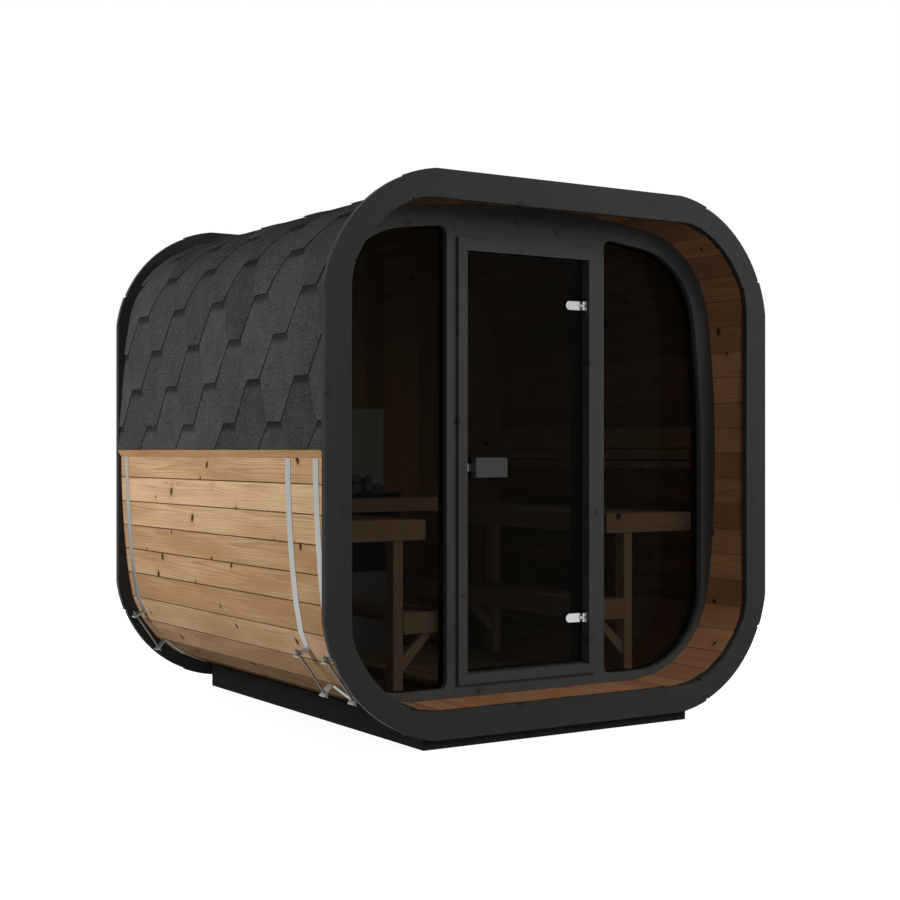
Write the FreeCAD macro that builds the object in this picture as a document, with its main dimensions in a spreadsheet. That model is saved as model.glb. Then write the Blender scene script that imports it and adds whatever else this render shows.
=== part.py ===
"""Outdoor sauna cabin: a rounded-square tunnel of softwood staves between two black rings.

Frame: +Z up, the glazed front faces -Y, +X is to the right seen from the front.
The origin is on the ground, below the middle of the cabin. Lengths are in millimetres.
"""
import FreeCAD, Part
import math
import os
import re
import types

import Sketcher

Vec = FreeCAD.Vector

# Driving dimensions: alias, value, what it is.
SIZES = [
    ("cabin_length", 2045, "overall depth, front ring face to rear ring face"),
    ("ring_width", 2100, "outer width and height of each ring"),
    ("ring_face", 107, "width of the ring's straight boards"),
    ("ring_corner_face", 92, "width of the ring's corner boards"),
    ("ring_thick", 28, "thickness of the ring boards"),
    ("ring_corner", 528, "outer radius of the ring's corner boards"),
    ("ring_easing", 75, "how far a straight board's inner edge stays straight past the corner"),
    ("ring_shoulder", 4, "how far a straight board's bent end stands out of the corner board"),
    ("ring_bevel", 7, "bevel on the edges of the ring boards' ends"),
    ("ring_joint", 22.5, "degrees from level to the lower joint of an upper corner board"),
    ("ring_clear", 37, "height of the rings above the ground"),
    ("margin_side", 14, "ring edge to the outside of the staves, at the sides"),
    ("margin_top", 26, "ring edge to the outside of the staves, at the top"),
    ("margin_bottom", 64, "ring edge to the underside of the staves"),
    ("bulge_radius", 4300, "radius of the bulged sides and roof, inside"),
    ("upper_corner", 408, "inner radius of the upper corners"),
    ("lower_corner", 423, "inner radius of the lower corners"),
    ("stave_thick", 39, "thickness of the wall staves"),
    ("stave_pitch", 107.5, "working width of one stave"),
    ("base_inset", 420, "ring's side to the base frame"),
    ("beam_wide", 100, "width of the base beams"),
    ("notch_gap", 2, "clearance of the bands in the beams' notches"),
    ("base_end_gap", 100, "base frame to the rear ring"),
    ("porch_depth", 253, "front ring face to the front wall"),
    ("face_thick", 28, "thickness of the front wall's outer boards"),
    ("pane_thick", 8, "thickness of the fixed window glass"),
    ("lining_thick", 28, "thickness of the inner window frame"),
    ("seat_gap", 0.3, "clearance between a wall and the staves round it"),
    ("window_stile", 82, "front wall face left between the window and the side staves"),
    ("window_sill", 38, "front wall face left between the window and the floor staves"),
    ("window_post", 45, "front wall face left between the window and the door frame"),
    ("window_toe", 46.5, "front wall face left outside the window's lower corner"),
    ("window_corner", 340, "radius of the window's lower outer corner"),
    ("window_small_corner", 30, "radius of the window's corners beside the door"),
    ("glass_cover", 15, "overlap of the window glass behind the outer boards"),
    ("door_width", 594, "clear width of the door frame"),
    ("door_headroom", 192, "top of the door opening to the middle of the roof inside"),
    ("door_step_height", 90, "inner floor to the bottom of the door opening"),
    ("frame_face", 43, "face width of the door frame's jambs"),
    ("frame_head", 50, "face height of the door frame's head"),
    ("frame_sill", 40, "face height of the door frame's sill"),
    ("frame_proud", 15, "door frame in front of the front wall"),
    ("frame_deep", 130, "depth of the door frame"),
    ("door_setback", 40, "door glass behind the face of the door frame"),
    ("leaf_thick", 8, "thickness of the door glass"),
    ("leaf_gap", 6, "clearance round the door glass"),
    ("stop_wide", 12, "width of the door stop beads"),
    ("stop_deep", 20, "depth of the door stop beads"),
    ("stop_gap", 8, "door glass to the stop beads"),
    ("hinge_long", 76, "length of a hinge clamp"),
    ("hinge_tall", 36, "height of a hinge clamp"),
    ("clamp_thick", 9, "thickness of each clamp plate"),
    ("hinge_side_gap", 8, "hinge axis to the face of the hinge plate"),
    ("hinge_front_gap", 18, "hinge axis in front of the door glass"),
    ("knuckle_radius", 6, "radius of the hinge knuckles"),
    ("knuckle_gap", 0.5, "gap between the knuckles"),
    ("pin_gap", 0.3, "clearance of a hinge pin in its knuckle"),
    ("plate_tall", 64, "height of a hinge plate on the jamb"),
    ("plate_deep", 20, "depth of a hinge plate on the jamb"),
    ("plate_thick", 5, "thickness of a hinge plate"),
    ("hinge_inset", 186, "door opening's end to the middle of a hinge"),
    ("handle_long", 150, "length of a handle block"),
    ("handle_tall", 78, "height of a handle block"),
    ("handle_thick", 34, "thickness of a handle block"),
    ("handle_inset", 36, "glass edge to the handle block"),
    ("handle_drop", 53, "handle's middle below the middle of the ring"),
    ("catch_long", 34, "length of the catch clamp on the glass edge"),
    ("catch_tall", 30, "height of the catch clamp"),
    ("catch_thick", 4, "thickness of each catch plate"),
    ("back_gap", 64, "rear ring to the back wall"),
    ("back_thick", 45, "thickness of the back wall boards"),
    ("floor_upper", 694, "inner floor to the top of the upper benches"),
    ("floor_lower", 337, "inner floor to the top of the lower benches"),
    ("bench_edge", 446, "middle of the cabin to an upper bench"),
    ("lower_edge", 345, "middle of the cabin to a lower bench"),
    ("bench_wall_gap", 14, "upper bench to the widest part of the wall"),
    ("slat_thick", 28, "thickness of the bench boards"),
    ("slat_gap", 12, "gap between bench boards"),
    ("fascia_upper", 80, "height of the upper benches' edge boards"),
    ("fascia_lower", 85, "height of the lower benches' edge boards"),
    ("leg_offset", 97, "upper bench edge to its legs"),
    ("leg_wide", 44, "width of a bench leg, seen from the front"),
    ("leg_depth", 60, "depth of a bench leg and of the bearers"),
    ("leg_spacing", 985, "front legs to rear legs"),
    ("brace_drop", 155, "height of the diagonal braces"),
    ("brace_reach", 145, "reach of the diagonal braces from the leg"),
    ("brace_wide", 60, "height of a brace where it meets the leg"),
    ("brace_top", 42, "width of a brace under the lower bench"),
    ("brace_thick", 30, "thickness of a brace"),
    ("brace_bite", 1, "how far a brace is let into its leg"),
    ("rest_level", 1065, "inner floor to the top of the backrests"),
    ("rest_slat", 20, "thickness of the backrest slats"),
    ("rest_spacer", 28, "backrest slats to the wall"),
    ("rest_upper_height", 90, "height of the upper backrest slat"),
    ("rest_middle_height", 46, "height of the middle backrest slat"),
    ("rest_lower_height", 33, "height of the lower backrest slat"),
    ("rest_wall_gap", 3, "backrest spacers to the widest part of the wall"),
    ("rest_gap", 8, "gap between the backrest slats"),
    ("duck_width", 640, "width of the slatted floor"),
    ("duck_thick", 22, "thickness of the slatted floor's boards and battens"),
    ("duck_gap", 16, "gap between the slatted floor's boards"),
    ("duck_end_gap", 25, "slatted floor to the front wall and to the heater's plate"),
    ("guard_tall", 66, "height of the heater's guard rail"),
    ("guard_thick", 28, "thickness of the guard rail"),
    ("guard_rise", 44, "guard rail above the upper benches"),
    ("guard_gap", 32, "guard rail to the heater"),
    ("heater_width", 400, "width of the heater"),
    ("heater_deep", 320, "depth of the heater"),
    ("heater_tall", 365, "height of the heater's casing"),
    ("heater_level", 758, "inner floor to the heater's rim"),
    ("heater_skin", 3, "thickness of the heater's sheet"),
    ("heater_round", 35, "radius of the heater's upright edges"),
    ("heater_gap", 28, "heater to the back wall"),
    ("stand_inset", 15, "heater's stand inside the casing's outline"),
    ("stone_bed", 150, "depth of the stones in the casing"),
    ("stone_heap", 28, "stones above the heater's rim"),
    ("stone_slope", 20, "slope round the top of the stones"),
    ("stone_gap", 1, "stones to the casing"),
    ("shield_width", 570, "width of the heat shield"),
    ("shield_level", 1166, "inner floor to the top of the heat shield"),
    ("shield_foot", 47, "inner floor to the bottom of the heat shield"),
    ("shield_inset", 30, "heat shield's edge to its spacers, and the spacers' size"),
    ("shield_gap", 12, "heat shield to the back wall"),
    ("shield_thick", 3, "thickness of the heat shield"),
    ("plate_width", 600, "width of the heater's floor plate"),
    ("plate_length", 454, "length of the heater's floor plate"),
    ("floor_plate_thick", 8, "thickness of the heater's floor plate"),
    ("cover_thin", 4, "thickness of a shingle course at its upper end"),
    ("cover_thick", 10, "thickness of a shingle course at its lower edge"),
    ("course_height", 159, "height of a shingle course"),
    ("cover_drop", 18, "lower edge of the shingles above the middle of the ring"),
    ("cover_kick", 13, "kick of the lowest shingles away from the wall"),
    ("cover_side_gap", 1, "shingles to the rings"),
    ("batten_tall", 28, "height of the roof edge battens"),
    ("batten_proud", 17, "width of the roof edge battens at the top"),
    ("batten_toe", 3, "width of the roof edge battens at the bottom"),
    ("batten_drop", 2, "edge of the shingles to the battens under it"),
    ("band_wide", 42, "width of the steel bands"),
    ("band_thick", 2, "thickness of the steel bands"),
    ("band_front", 98, "front ring face to the middle of the first band"),
    ("band_second", 318, "front ring face to the middle of the second band"),
    ("band_rear", 101, "rear ring face to the middle of the last band"),
    ("band_top", 14, "steel bands below the middle of the ring"),
    ("rod_long", 232, "length of a tension rod"),
    ("rod_radius", 5, "radius of a tension rod"),
    ("rod_stand", 42, "tension rod's axis outside the staves"),
    ("rod_angle", 36, "degrees below level of the middle of a tension rod"),
    ("lug_spread", 172, "distance between the lugs on a rod"),
    ("lug_thick", 5, "thickness of a lug"),
    ("nut_across", 19, "width of a nut across its flats"),
    ("nut_thick", 9, "thickness of a nut"),
    ("nut_off", 4.6, "middle of a lug to the nut on it"),
    ("lug_over", 16, "lug's tip beyond the rod's axis"),
    ("rod_gap", 1.5, "clearance of a rod in its lugs"),
]

# Places worked out from the sizes: alias, formula over the sizes and the places above it.
PLACES = [
    ("mid", "ring_clear + ring_width / 2"),
    ("ring_front", "0 - cabin_length / 2"),
    ("ring_rear", "cabin_length / 2"),
    ("shell_front", "ring_front + ring_thick"),
    ("shell_rear", "ring_rear - ring_thick"),
    ("shell_length", "cabin_length - 2 * ring_thick"),
    ("half_side", "ring_width / 2 - margin_side - stave_thick"),
    ("half_top", "ring_width / 2 - margin_top - stave_thick"),
    ("half_bottom", "ring_width / 2 - margin_bottom - stave_thick"),
    ("floor_top", "mid - half_bottom"),
    ("roof_under", "mid + half_top"),
    ("beam_top", "floor_top - stave_thick"),
    ("base_rear", "shell_rear - base_end_gap"),
    ("wall_front", "ring_front + porch_depth"),
    ("wall_glass", "wall_front + face_thick"),
    ("wall_lining", "wall_glass + pane_thick"),
    ("room_front", "wall_lining + lining_thick"),
    ("back_rear", "shell_rear - back_gap"),
    ("room_rear", "back_rear - back_thick"),
    ("room_length", "room_rear - room_front"),
    ("base_width", "ring_width - 2 * base_inset"),
    ("frame_half", "door_width / 2 + frame_face"),
    ("window_edge", "frame_half + window_post"),
    ("frame_front", "wall_front - frame_proud"),
    ("opening_low", "floor_top + door_step_height"),
    ("opening_high", "roof_under - door_headroom"),
    ("door_height", "opening_high - opening_low"),
    ("leaf_front", "frame_front + door_setback"),
    ("leaf_rear", "leaf_front + leaf_thick"),
    ("leaf_half", "door_width / 2 - leaf_gap"),
    ("plate_face", "door_width / 2 - plate_thick"),
    ("hinge_x", "plate_face - hinge_side_gap"),
    ("hinge_y", "leaf_front - hinge_front_gap"),
    ("hinge_low", "opening_low + hinge_inset"),
    ("hinge_high", "opening_high - hinge_inset"),
    ("handle_mid", "mid - handle_drop"),
    ("upper_top", "floor_top + floor_upper"),
    ("upper_under", "upper_top - fascia_upper"),
    ("lower_top", "floor_top + floor_lower"),
    ("lower_under", "lower_top - fascia_lower"),
    ("bench_outer", "half_side - bench_wall_gap"),
    ("leg_inner", "bench_edge + leg_offset"),
    ("leg_outer", "leg_inner + leg_wide"),
    ("leg_rear", "room_front + leg_spacing"),
    ("heater_rear", "room_rear - heater_gap"),
    ("heater_front", "heater_rear - heater_deep"),
    ("heater_top", "floor_top + heater_level"),
    ("heater_under", "heater_top - heater_tall"),
    ("plate_top", "floor_top + floor_plate_thick"),
    ("plate_front", "room_rear - plate_length"),
    ("guard_rear", "heater_front - guard_gap"),
    ("guard_top", "upper_top + guard_rise"),
    ("rest_top", "floor_top + rest_level"),
    ("rest_back", "half_side - rest_wall_gap - rest_spacer"),
    ("front_band_middle", "ring_front + band_front"),
    ("middle_band_middle", "ring_front + band_second"),
    ("rear_band_middle", "ring_rear - band_rear"),
]

# How many boards some pieces have.
UPPER_BENCH_BOARDS = 4
LOWER_BENCH_BOARDS = 2
FLOOR_BOARDS = 7
FLOOR_BATTENS = 3

# Names of the two sides, and their direction along X.
SIDES = (("left", -1), ("right", 1))

# Halvings of a search for a place on the curved profile.
SEARCH_STEPS = 50

doc = FreeCAD.newDocument("sauna_cabin")
sheet = doc.addObject("Spreadsheet::Sheet", "Sizes")
for row, (alias, value, meaning) in enumerate(SIZES, start=1):
    sheet.set(f"A{row}", meaning)
    sheet.set(f"B{row}", str(value))
    sheet.setAlias(f"B{row}", alias)
places = doc.addObject("Spreadsheet::Sheet", "Places")
size_names = {alias for alias, value, meaning in SIZES}
place_names = {alias for alias, formula in PLACES}


def cells(formula, home="Places"):
    """The formula with each alias written as a reference to its sheet."""
    def refer(match):
        word = match.group(0)
        if word in size_names:
            return f"Sizes.{word}"
        if word in place_names:
            return word if home == "sheet" else f"Places.{word}"
        return word
    return re.sub(r"[a-z][a-z_]*", refer, formula)


for row, (alias, formula) in enumerate(PLACES, start=1):
    places.set(f"A{row}", "=" + cells(formula, home="sheet"))
    places.setAlias(f"A{row}", alias)
doc.recompute()
at = types.SimpleNamespace()
for alias in size_names:
    setattr(at, alias, float(sheet.get(alias)))
for alias in place_names:
    setattr(at, alias, float(places.get(alias)))

nodes = {}


def node(piece, name):
    """Register a finished piece as the node that its Label names."""
    piece.Label = name
    nodes[name] = piece
    return piece


def bind(piece, **formulas):
    """Bind properties of a piece to formulas over the sheets' names."""
    for prop, formula in formulas.items():
        piece.setExpression(prop.replace("__", "."), cells(formula))


def board(name, x, y, z):
    """A squared piece from (low, size) formulas along X, Y and Z."""
    piece = doc.addObject("Part::Box", name)
    bind(piece, Length=x[1], Width=y[1], Height=z[1],
         Placement__Base__x=x[0], Placement__Base__y=y[0], Placement__Base__z=z[0])
    return piece


def joined(name, pieces):
    """Pieces that are glued or screwed up into one solid."""
    whole = doc.addObject("Part::MultiFuse", name)
    whole.Shapes = pieces
    whole.Refine = True
    return whole


def grouped(name, pieces):
    """Like pieces of one node that don't touch each other."""
    whole = doc.addObject("Part::Compound", name)
    whole.Links = pieces
    return whole


def plane(body, role):
    """One of a body's own origin planes."""
    return next(f for f in body.Origin.OriginFeatures if f.Role == role)


def is_arc(step):
    """Whether a step of an outline is an arc, written as its middle and its end."""
    return isinstance(step[0], tuple)


def add_outline(sketch, outline):
    """Add a closed outline to a sketch and join its corners."""
    ends = []
    start = here = Vec(*outline[0], 0)
    for step in outline[1:] + [outline[0]]:
        if is_arc(step):
            middle, end = Vec(*step[0], 0), Vec(*step[1], 0)
            clockwise = (middle - here).cross(end - middle).z < 0
            edge = Part.Arc(end, middle, here) if clockwise else Part.Arc(here, middle, end)
            marks = (2, 1) if clockwise else (1, 2)
        else:
            end = Vec(*step, 0)
            if here.distanceToPoint(end) < 0.001:
                continue
            edge = Part.LineSegment(here, end)
            marks = (1, 2)
        ends.append((sketch.addGeometry(edge, False), marks))
        here = end
    for (index, marks), (after, after_marks) in zip(ends, ends[1:] + ends[:1]):
        sketch.addConstraint(
            Sketcher.Constraint("Coincident", index, marks[1], after, after_marks[0]))


def profile(name, outlines, start, depth):
    """A body padded along +Y from outlines drawn in X and Z; start and depth are formulas."""
    body = doc.addObject("PartDesign::Body", name)
    sketch = body.newObject("Sketcher::SketchObject", name + "_outline")
    sketch.AttachmentSupport = (plane(body, "XZ_Plane"), [""])
    sketch.MapMode = "FlatFace"
    for outline in outlines:
        add_outline(sketch, outline)
    pad = body.newObject("PartDesign::Pad", name + "_pad")
    pad.Profile = sketch
    pad.Reversed = True
    bind(pad, Length=depth)
    bind(body, Placement__Base__y=start)
    return body


def moved(outline, place):
    """The outline with each of its points passed through a function."""
    return [
        (place(step[0]), place(step[1])) if is_arc(step) else place(step)
        for step in outline
    ]


def mirrored(outline):
    """The outline mirrored across the cabin's middle plane."""
    return moved(outline, lambda point: (-point[0], point[1]))


def raised(outline):
    """The outline moved from the ring's middle up to the ground frame."""
    return moved(outline, lambda point: (point[0], point[1] + at.mid))


def sided(outline, side):
    """The outline as drawn on the right, or mirrored for side -1."""
    return outline if side > 0 else mirrored(outline)


# The stave tunnel.

def corner_centre(radius, level):
    """Middle of a corner arc of this radius at this level that runs into the bulged side."""
    reach = at.bulge_radius - radius
    return at.half_side - at.bulge_radius + math.sqrt(reach ** 2 - level ** 2)


def upper_corner_centre():
    """Middle of the upper corner arc, which runs into the bulged side and the bulged roof."""
    low, high = 0.0, at.half_top
    for _ in range(SEARCH_STEPS):
        level = (low + high) / 2
        across = corner_centre(at.upper_corner, level)
        reach = math.hypot(across, level - at.half_top + at.bulge_radius)
        if reach > at.bulge_radius - at.upper_corner:
            high = level
        else:
            low = level
    return across, level


def tunnel_spans():
    """The right half of the inner profile from the top down: centre, radius, two angles."""
    side = (at.half_side - at.bulge_radius, 0)
    roof = (0, at.half_top - at.bulge_radius)
    upper = upper_corner_centre()
    low_level = at.lower_corner - at.half_bottom
    lower = (corner_centre(at.lower_corner, low_level), low_level)
    roof_turn = math.atan2(upper[1] - roof[1], upper[0])
    side_high = math.atan2(upper[1], upper[0] - side[0])
    side_low = math.atan2(lower[1], lower[0] - side[0])
    return [
        (roof, at.bulge_radius, math.pi / 2, roof_turn),
        (upper, at.upper_corner, roof_turn, side_high),
        (side, at.bulge_radius, side_high, side_low),
        (lower, at.lower_corner, side_low, -math.pi / 2),
    ], lower[0]


def tunnel_point(distance):
    """The point of the inner profile at this distance from the middle of the roof."""
    spans, flat_half = tunnel_spans()
    for centre, radius, high, low in spans:
        length = radius * (high - low)
        if distance <= length:
            angle = high - distance / radius
            return (centre[0] + radius * math.cos(angle), centre[1] + radius * math.sin(angle))
        distance -= length
    return (flat_half - distance, -at.half_bottom)


def half_girth():
    """Length of the inner profile from the middle of the roof to the middle of the floor."""
    spans, flat_half = tunnel_spans()
    return sum(radius * (high - low) for centre, radius, high, low in spans) + flat_half


stave_half_count = 4 * round(half_girth() / at.stave_pitch / 4)
stave_count = 2 * stave_half_count
stave_run = half_girth() / stave_half_count
right_edges = [tunnel_point(stave_run * i) for i in range(stave_half_count + 1)]
stave_edges = right_edges + [(-x, z) for x, z in reversed(right_edges[1:-1])]


def outward(start, end):
    """Outward normal of the facet between two stave edges."""
    run = math.dist(start, end)
    return ((start[1] - end[1]) / run, (end[0] - start[0]) / run)


def offset_edge(index, distance):
    """Stave edge number index, moved so that both facets beside it move out by the distance."""
    before, here, after = (stave_edges[(index + step) % stave_count] for step in (-1, 0, 1))
    first, second = outward(before, here), outward(here, after)
    share = 1 + first[0] * second[0] + first[1] * second[1]
    return (
        here[0] + (first[0] + second[0]) * distance / share,
        here[1] + (first[1] + second[1]) * distance / share,
    )


def offset_point(position, distance):
    """A point at a fractional stave position on the faceted profile offset outwards."""
    index = math.floor(position)
    share = position - index
    a = offset_edge(index, distance)
    if share < 1e-9:
        return a
    b = offset_edge(index + 1, distance)
    return (a[0] + (b[0] - a[0]) * share, a[1] + (b[1] - a[1]) * share)


def path(start, end, distance):
    """Points of the offset profile between two stave positions, clockwise seen from the front."""
    inner = [i for i in range(math.ceil(start), math.floor(end) + 1) if start < i < end]
    return [offset_point(p, distance) for p in [start] + inner + [end]]


def strip(start, end, inner, outer):
    """A closed strip round part of the profile between two offsets."""
    return path(start, end, outer) + path(start, end, inner)[::-1]


def stave_position(test):
    """The stave position on the right half where test(point) first holds."""
    low, high = 0.0, float(stave_half_count)
    for _ in range(SEARCH_STEPS):
        middle = (low + high) / 2
        if test(offset_point(middle, at.stave_thick)):
            high = middle
        else:
            low = middle
    return high


quarter = stave_half_count // 4
third = 3 * quarter
for name, start, end in (
    ("roof_staves", -quarter, quarter),
    ("right_wall_staves", quarter, third),
    ("floor_staves", third, stave_count - third),
    ("left_wall_staves", stave_count - third, stave_count - quarter),
):
    staves = raised(strip(start, end, 0, at.stave_thick))
    node(profile(name, [staves], "shell_front", "shell_length"), name)


# The rings: four straight boards and four corner boards each.

def arc_step(centre, radius, start, end):
    """An arc step: its middle point and its end point."""
    middle = (start + end) / 2
    return (
        (centre[0] + radius * math.cos(middle), centre[1] + radius * math.sin(middle)),
        (centre[0] + radius * math.cos(end), centre[1] + radius * math.sin(end)),
    )


def turned(outline, quarters):
    """The outline turned about the ring's middle by quarter turns."""
    def turn(point):
        x, z = point
        for _ in range(quarters):
            x, z = -z, x
        return (x, z)
    return moved(outline, turn)


def polar(centre, radius, angle):
    """A point at this radius and angle from a centre."""
    return (centre[0] + radius * math.cos(angle), centre[1] + radius * math.sin(angle))


def straight_board():
    """Outline of the ring's top board, about the ring's middle, with its ends' edges cut off."""
    half = at.ring_width / 2
    place = half - at.ring_corner
    centre = (place, place)
    joint = math.radians(90 - at.ring_joint)
    outer = at.ring_corner + at.ring_shoulder
    inner = at.ring_corner - at.ring_corner_face
    bevel = at.ring_bevel
    shoulder = math.asin(at.ring_corner / outer)
    start = polar(centre, outer, shoulder)
    inner_end = polar(centre, inner, joint + bevel / inner)
    inner_start = (place + at.ring_easing, half - at.ring_face)
    bend = 2 * math.atan2(inner_start[1] - inner_end[1], inner_end[0] - inner_start[0])
    bend_radius = (inner_end[0] - inner_start[0]) / math.sin(bend)
    inner_middle = (
        inner_start[0] + bend_radius * math.sin(bend / 2),
        inner_start[1] - bend_radius * (1 - math.cos(bend / 2)),
    )
    right = [
        start,
        arc_step(centre, outer, shoulder, joint + bevel / outer),
        polar(centre, outer - bevel, joint),
        polar(centre, inner + bevel, joint),
        inner_end,
        (inner_middle, inner_start),
    ]
    left = mirrored([
        inner_start,
        (inner_middle, inner_end),
        polar(centre, inner + bevel, joint),
        polar(centre, outer - bevel, joint),
        polar(centre, outer, joint + bevel / outer),
        arc_step(centre, outer, joint + bevel / outer, shoulder),
    ])
    return right + left


def corner_board():
    """Outline of the ring's upper right corner board, about the ring's middle."""
    place = at.ring_width / 2 - at.ring_corner
    centre = (place, place)
    low, high = math.radians(at.ring_joint), math.radians(90 - at.ring_joint)
    outer, inner = at.ring_corner, at.ring_corner - at.ring_corner_face
    bevel = at.ring_bevel
    return [
        polar(centre, outer, low + bevel / outer),
        arc_step(centre, outer, low + bevel / outer, high - bevel / outer),
        polar(centre, outer - bevel, high),
        polar(centre, inner + bevel, high),
        polar(centre, inner, high - bevel / inner),
        arc_step(centre, inner, high - bevel / inner, low + bevel / inner),
        polar(centre, inner + bevel, low),
        polar(centre, outer - bevel, low),
    ]


def ring(prefix, start):
    """One ring: a node for its four straight boards and a node for its four corner boards."""
    for kind, outline in (("boards", straight_board()), ("corners", corner_board())):
        name = f"{prefix}_ring_{kind}"
        pieces = [
            profile(f"{name}_{quarters}", [raised(turned(outline, quarters))], start, "ring_thick")
            for quarters in range(4)
        ]
        node(grouped(name, pieces), name)


ring("front", "ring_front")
ring("rear", "shell_rear")


# The base frame, notched where the steel bands pass under the cabin.

def beam(name, x, y, band_place):
    """A base beam with a notch across it for the band at this place."""
    blank = board(f"{name}_blank", x, y, ("0", "beam_top"))
    notch = board(f"{name}_notch", ("0 - base_width", "2 * base_width"),
                  (f"{band_place} - band_wide / 2 - notch_gap", "band_wide + 2 * notch_gap"),
                  ("beam_top - band_thick - notch_gap / 2", "2 * band_thick + notch_gap"))
    cut = doc.addObject("Part::Cut", name)
    cut.Base = blank
    cut.Tool = notch
    return node(cut, name)


full_width = ("0 - base_width / 2", "base_width")
beam("base_beam_front", full_width, ("shell_front", "beam_wide"), "front_band_middle")
node(board("base_beam_rear", full_width, ("base_rear - beam_wide", "beam_wide"),
           ("0", "beam_top")), "base_beam_rear")
for name, low in (("left", "0 - base_width / 2"), ("right", "base_width / 2 - beam_wide")):
    beam(f"base_beam_{name}", (low, "beam_wide"),
         ("shell_front + beam_wide", "base_rear - shell_front - 2 * beam_wide"),
         "middle_band_middle")


# The shingle cover and its edge battens.

cover_edge = stave_position(lambda point: point[1] < at.cover_drop)
outer_run = stave_run * (at.half_side + at.stave_thick) / at.half_side
course_count = round(cover_edge * outer_run / at.course_height)


def cover_half():
    """Right half of the shingles' outside, from the roof's middle down, and of their underside."""
    outside, underside = [], []
    course = cover_edge / course_count
    for number in range(course_count):
        start, end = number * course, (number + 1) * course
        last = number == course_count - 1
        marks = [start] + [i for i in range(math.ceil(start), math.ceil(end)) if i > start] + [end]
        for mark in marks:
            share = (mark - start) / course
            lift = at.stave_thick + at.cover_kick * share ** 2 * last
            thick = at.cover_thin + (at.cover_thick - at.cover_thin) * share
            outside.append(offset_point(mark, lift + thick))
            if mark < end or last:
                underside.append(offset_point(mark, lift))
    return outside, underside


outside, underside = cover_half()
cover = mirrored(outside[:0:-1]) + outside + underside[:0:-1] + mirrored(underside)
node(profile("roof_shingles", [raised(cover)],
             "shell_front + cover_side_gap", "shell_length - 2 * cover_side_gap"),
     "roof_shingles")

batten_high = stave_position(lambda point: point[1] < at.cover_drop - at.batten_drop)
batten_low = stave_position(
    lambda point: point[1] < at.cover_drop - at.batten_drop - at.batten_tall)
batten_seat = path(batten_high, batten_low, at.stave_thick)
batten = batten_seat + [
    (batten_seat[-1][0] + at.batten_toe, batten_seat[-1][1]),
    (batten_seat[0][0] + at.batten_proud, batten_seat[0][1]),
]
node(grouped("roof_edge_battens", [
    profile(f"roof_edge_batten_{side}", [raised(sided(batten, side))],
            "shell_front", "shell_length")
    for side in (-1, 1)
]), "roof_edge_battens")


# The front wall with its two fixed windows.

def position_at(across, upper):
    """The stave position on the right half where the wall's edge is this far from the middle."""
    low, high = (0.0, quarter) if upper else (float(third), float(stave_half_count))
    for _ in range(SEARCH_STEPS):
        middle = (low + high) / 2
        if (offset_point(middle, -at.seat_gap)[0] > across) == upper:
            high = middle
        else:
            low = middle
    return high


def wall_outline():
    """The right part of the front wall, beside the door frame."""
    return path(position_at(at.frame_half, True), position_at(at.frame_half, False), -at.seat_gap)


def window_outline(grow=0):
    """The right window, each of its edges moved outwards by grow."""
    spans, flat_half = tunnel_spans()
    (roof, radius, _, roof_turn), (upper, small, _, side_high), (side, _, _, _), lower = spans
    radius -= at.window_stile - grow
    small -= at.window_stile - grow
    edge = at.window_edge - grow
    fillet = at.window_small_corner + grow
    middle = edge + fillet
    top = (middle, roof[1] + math.sqrt((radius - fillet) ** 2 - middle ** 2))
    lean = math.atan2(top[1] - roof[1], top[0])
    base = at.window_sill - grow - at.half_bottom
    low_corner = at.window_corner + grow
    low_far = lower[0][0] + at.lower_corner - at.window_toe + grow
    low_centre = (low_far - low_corner, base + low_corner)
    outline = [(edge, top[1])]
    outline.append(arc_step(top, fillet, math.pi, lean))
    outline.append(arc_step(roof, radius, lean, roof_turn))
    outline.append(arc_step(upper, small, roof_turn, side_high))
    outline.append(arc_step(side, radius, side_high, 0))
    outline.append((low_far, low_centre[1]))
    outline.append(arc_step(low_centre, low_corner, 0, -math.pi / 2))
    outline.append((middle, base))
    outline.append(arc_step((middle, base + fillet), fillet, -math.pi / 2, -math.pi))
    return outline


for name, side in SIDES:
    wall = raised(sided(wall_outline(), side))
    hole = raised(sided(window_outline(), side))
    pane = raised(sided(window_outline(at.glass_cover), side))
    node(profile(f"front_wall_{name}", [wall, hole], "wall_front", "face_thick"),
         f"front_wall_{name}")
    node(profile(f"{name}_window_glass", [pane], "wall_glass", "pane_thick"),
         f"{name}_window_glass")
    node(profile(f"{name}_window_lining", [wall, hole], "wall_lining", "lining_thick"),
         f"{name}_window_lining")

head_end = position_at(at.frame_half, True)
head = path(0, head_end, -at.seat_gap)
head_low = at.opening_high + at.frame_head - at.mid
head = mirrored(head[:0:-1]) + head + [(at.frame_half, head_low), (-at.frame_half, head_low)]
node(profile("front_wall_head", [raised(head)], "wall_front", "room_front - wall_front"),
     "front_wall_head")
node(board("front_wall_sill", ("0 - frame_half", "2 * frame_half"),
           ("wall_front", "room_front - wall_front"),
           ("floor_top", "door_step_height - frame_sill")), "front_wall_sill")


# The door frame.

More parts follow.
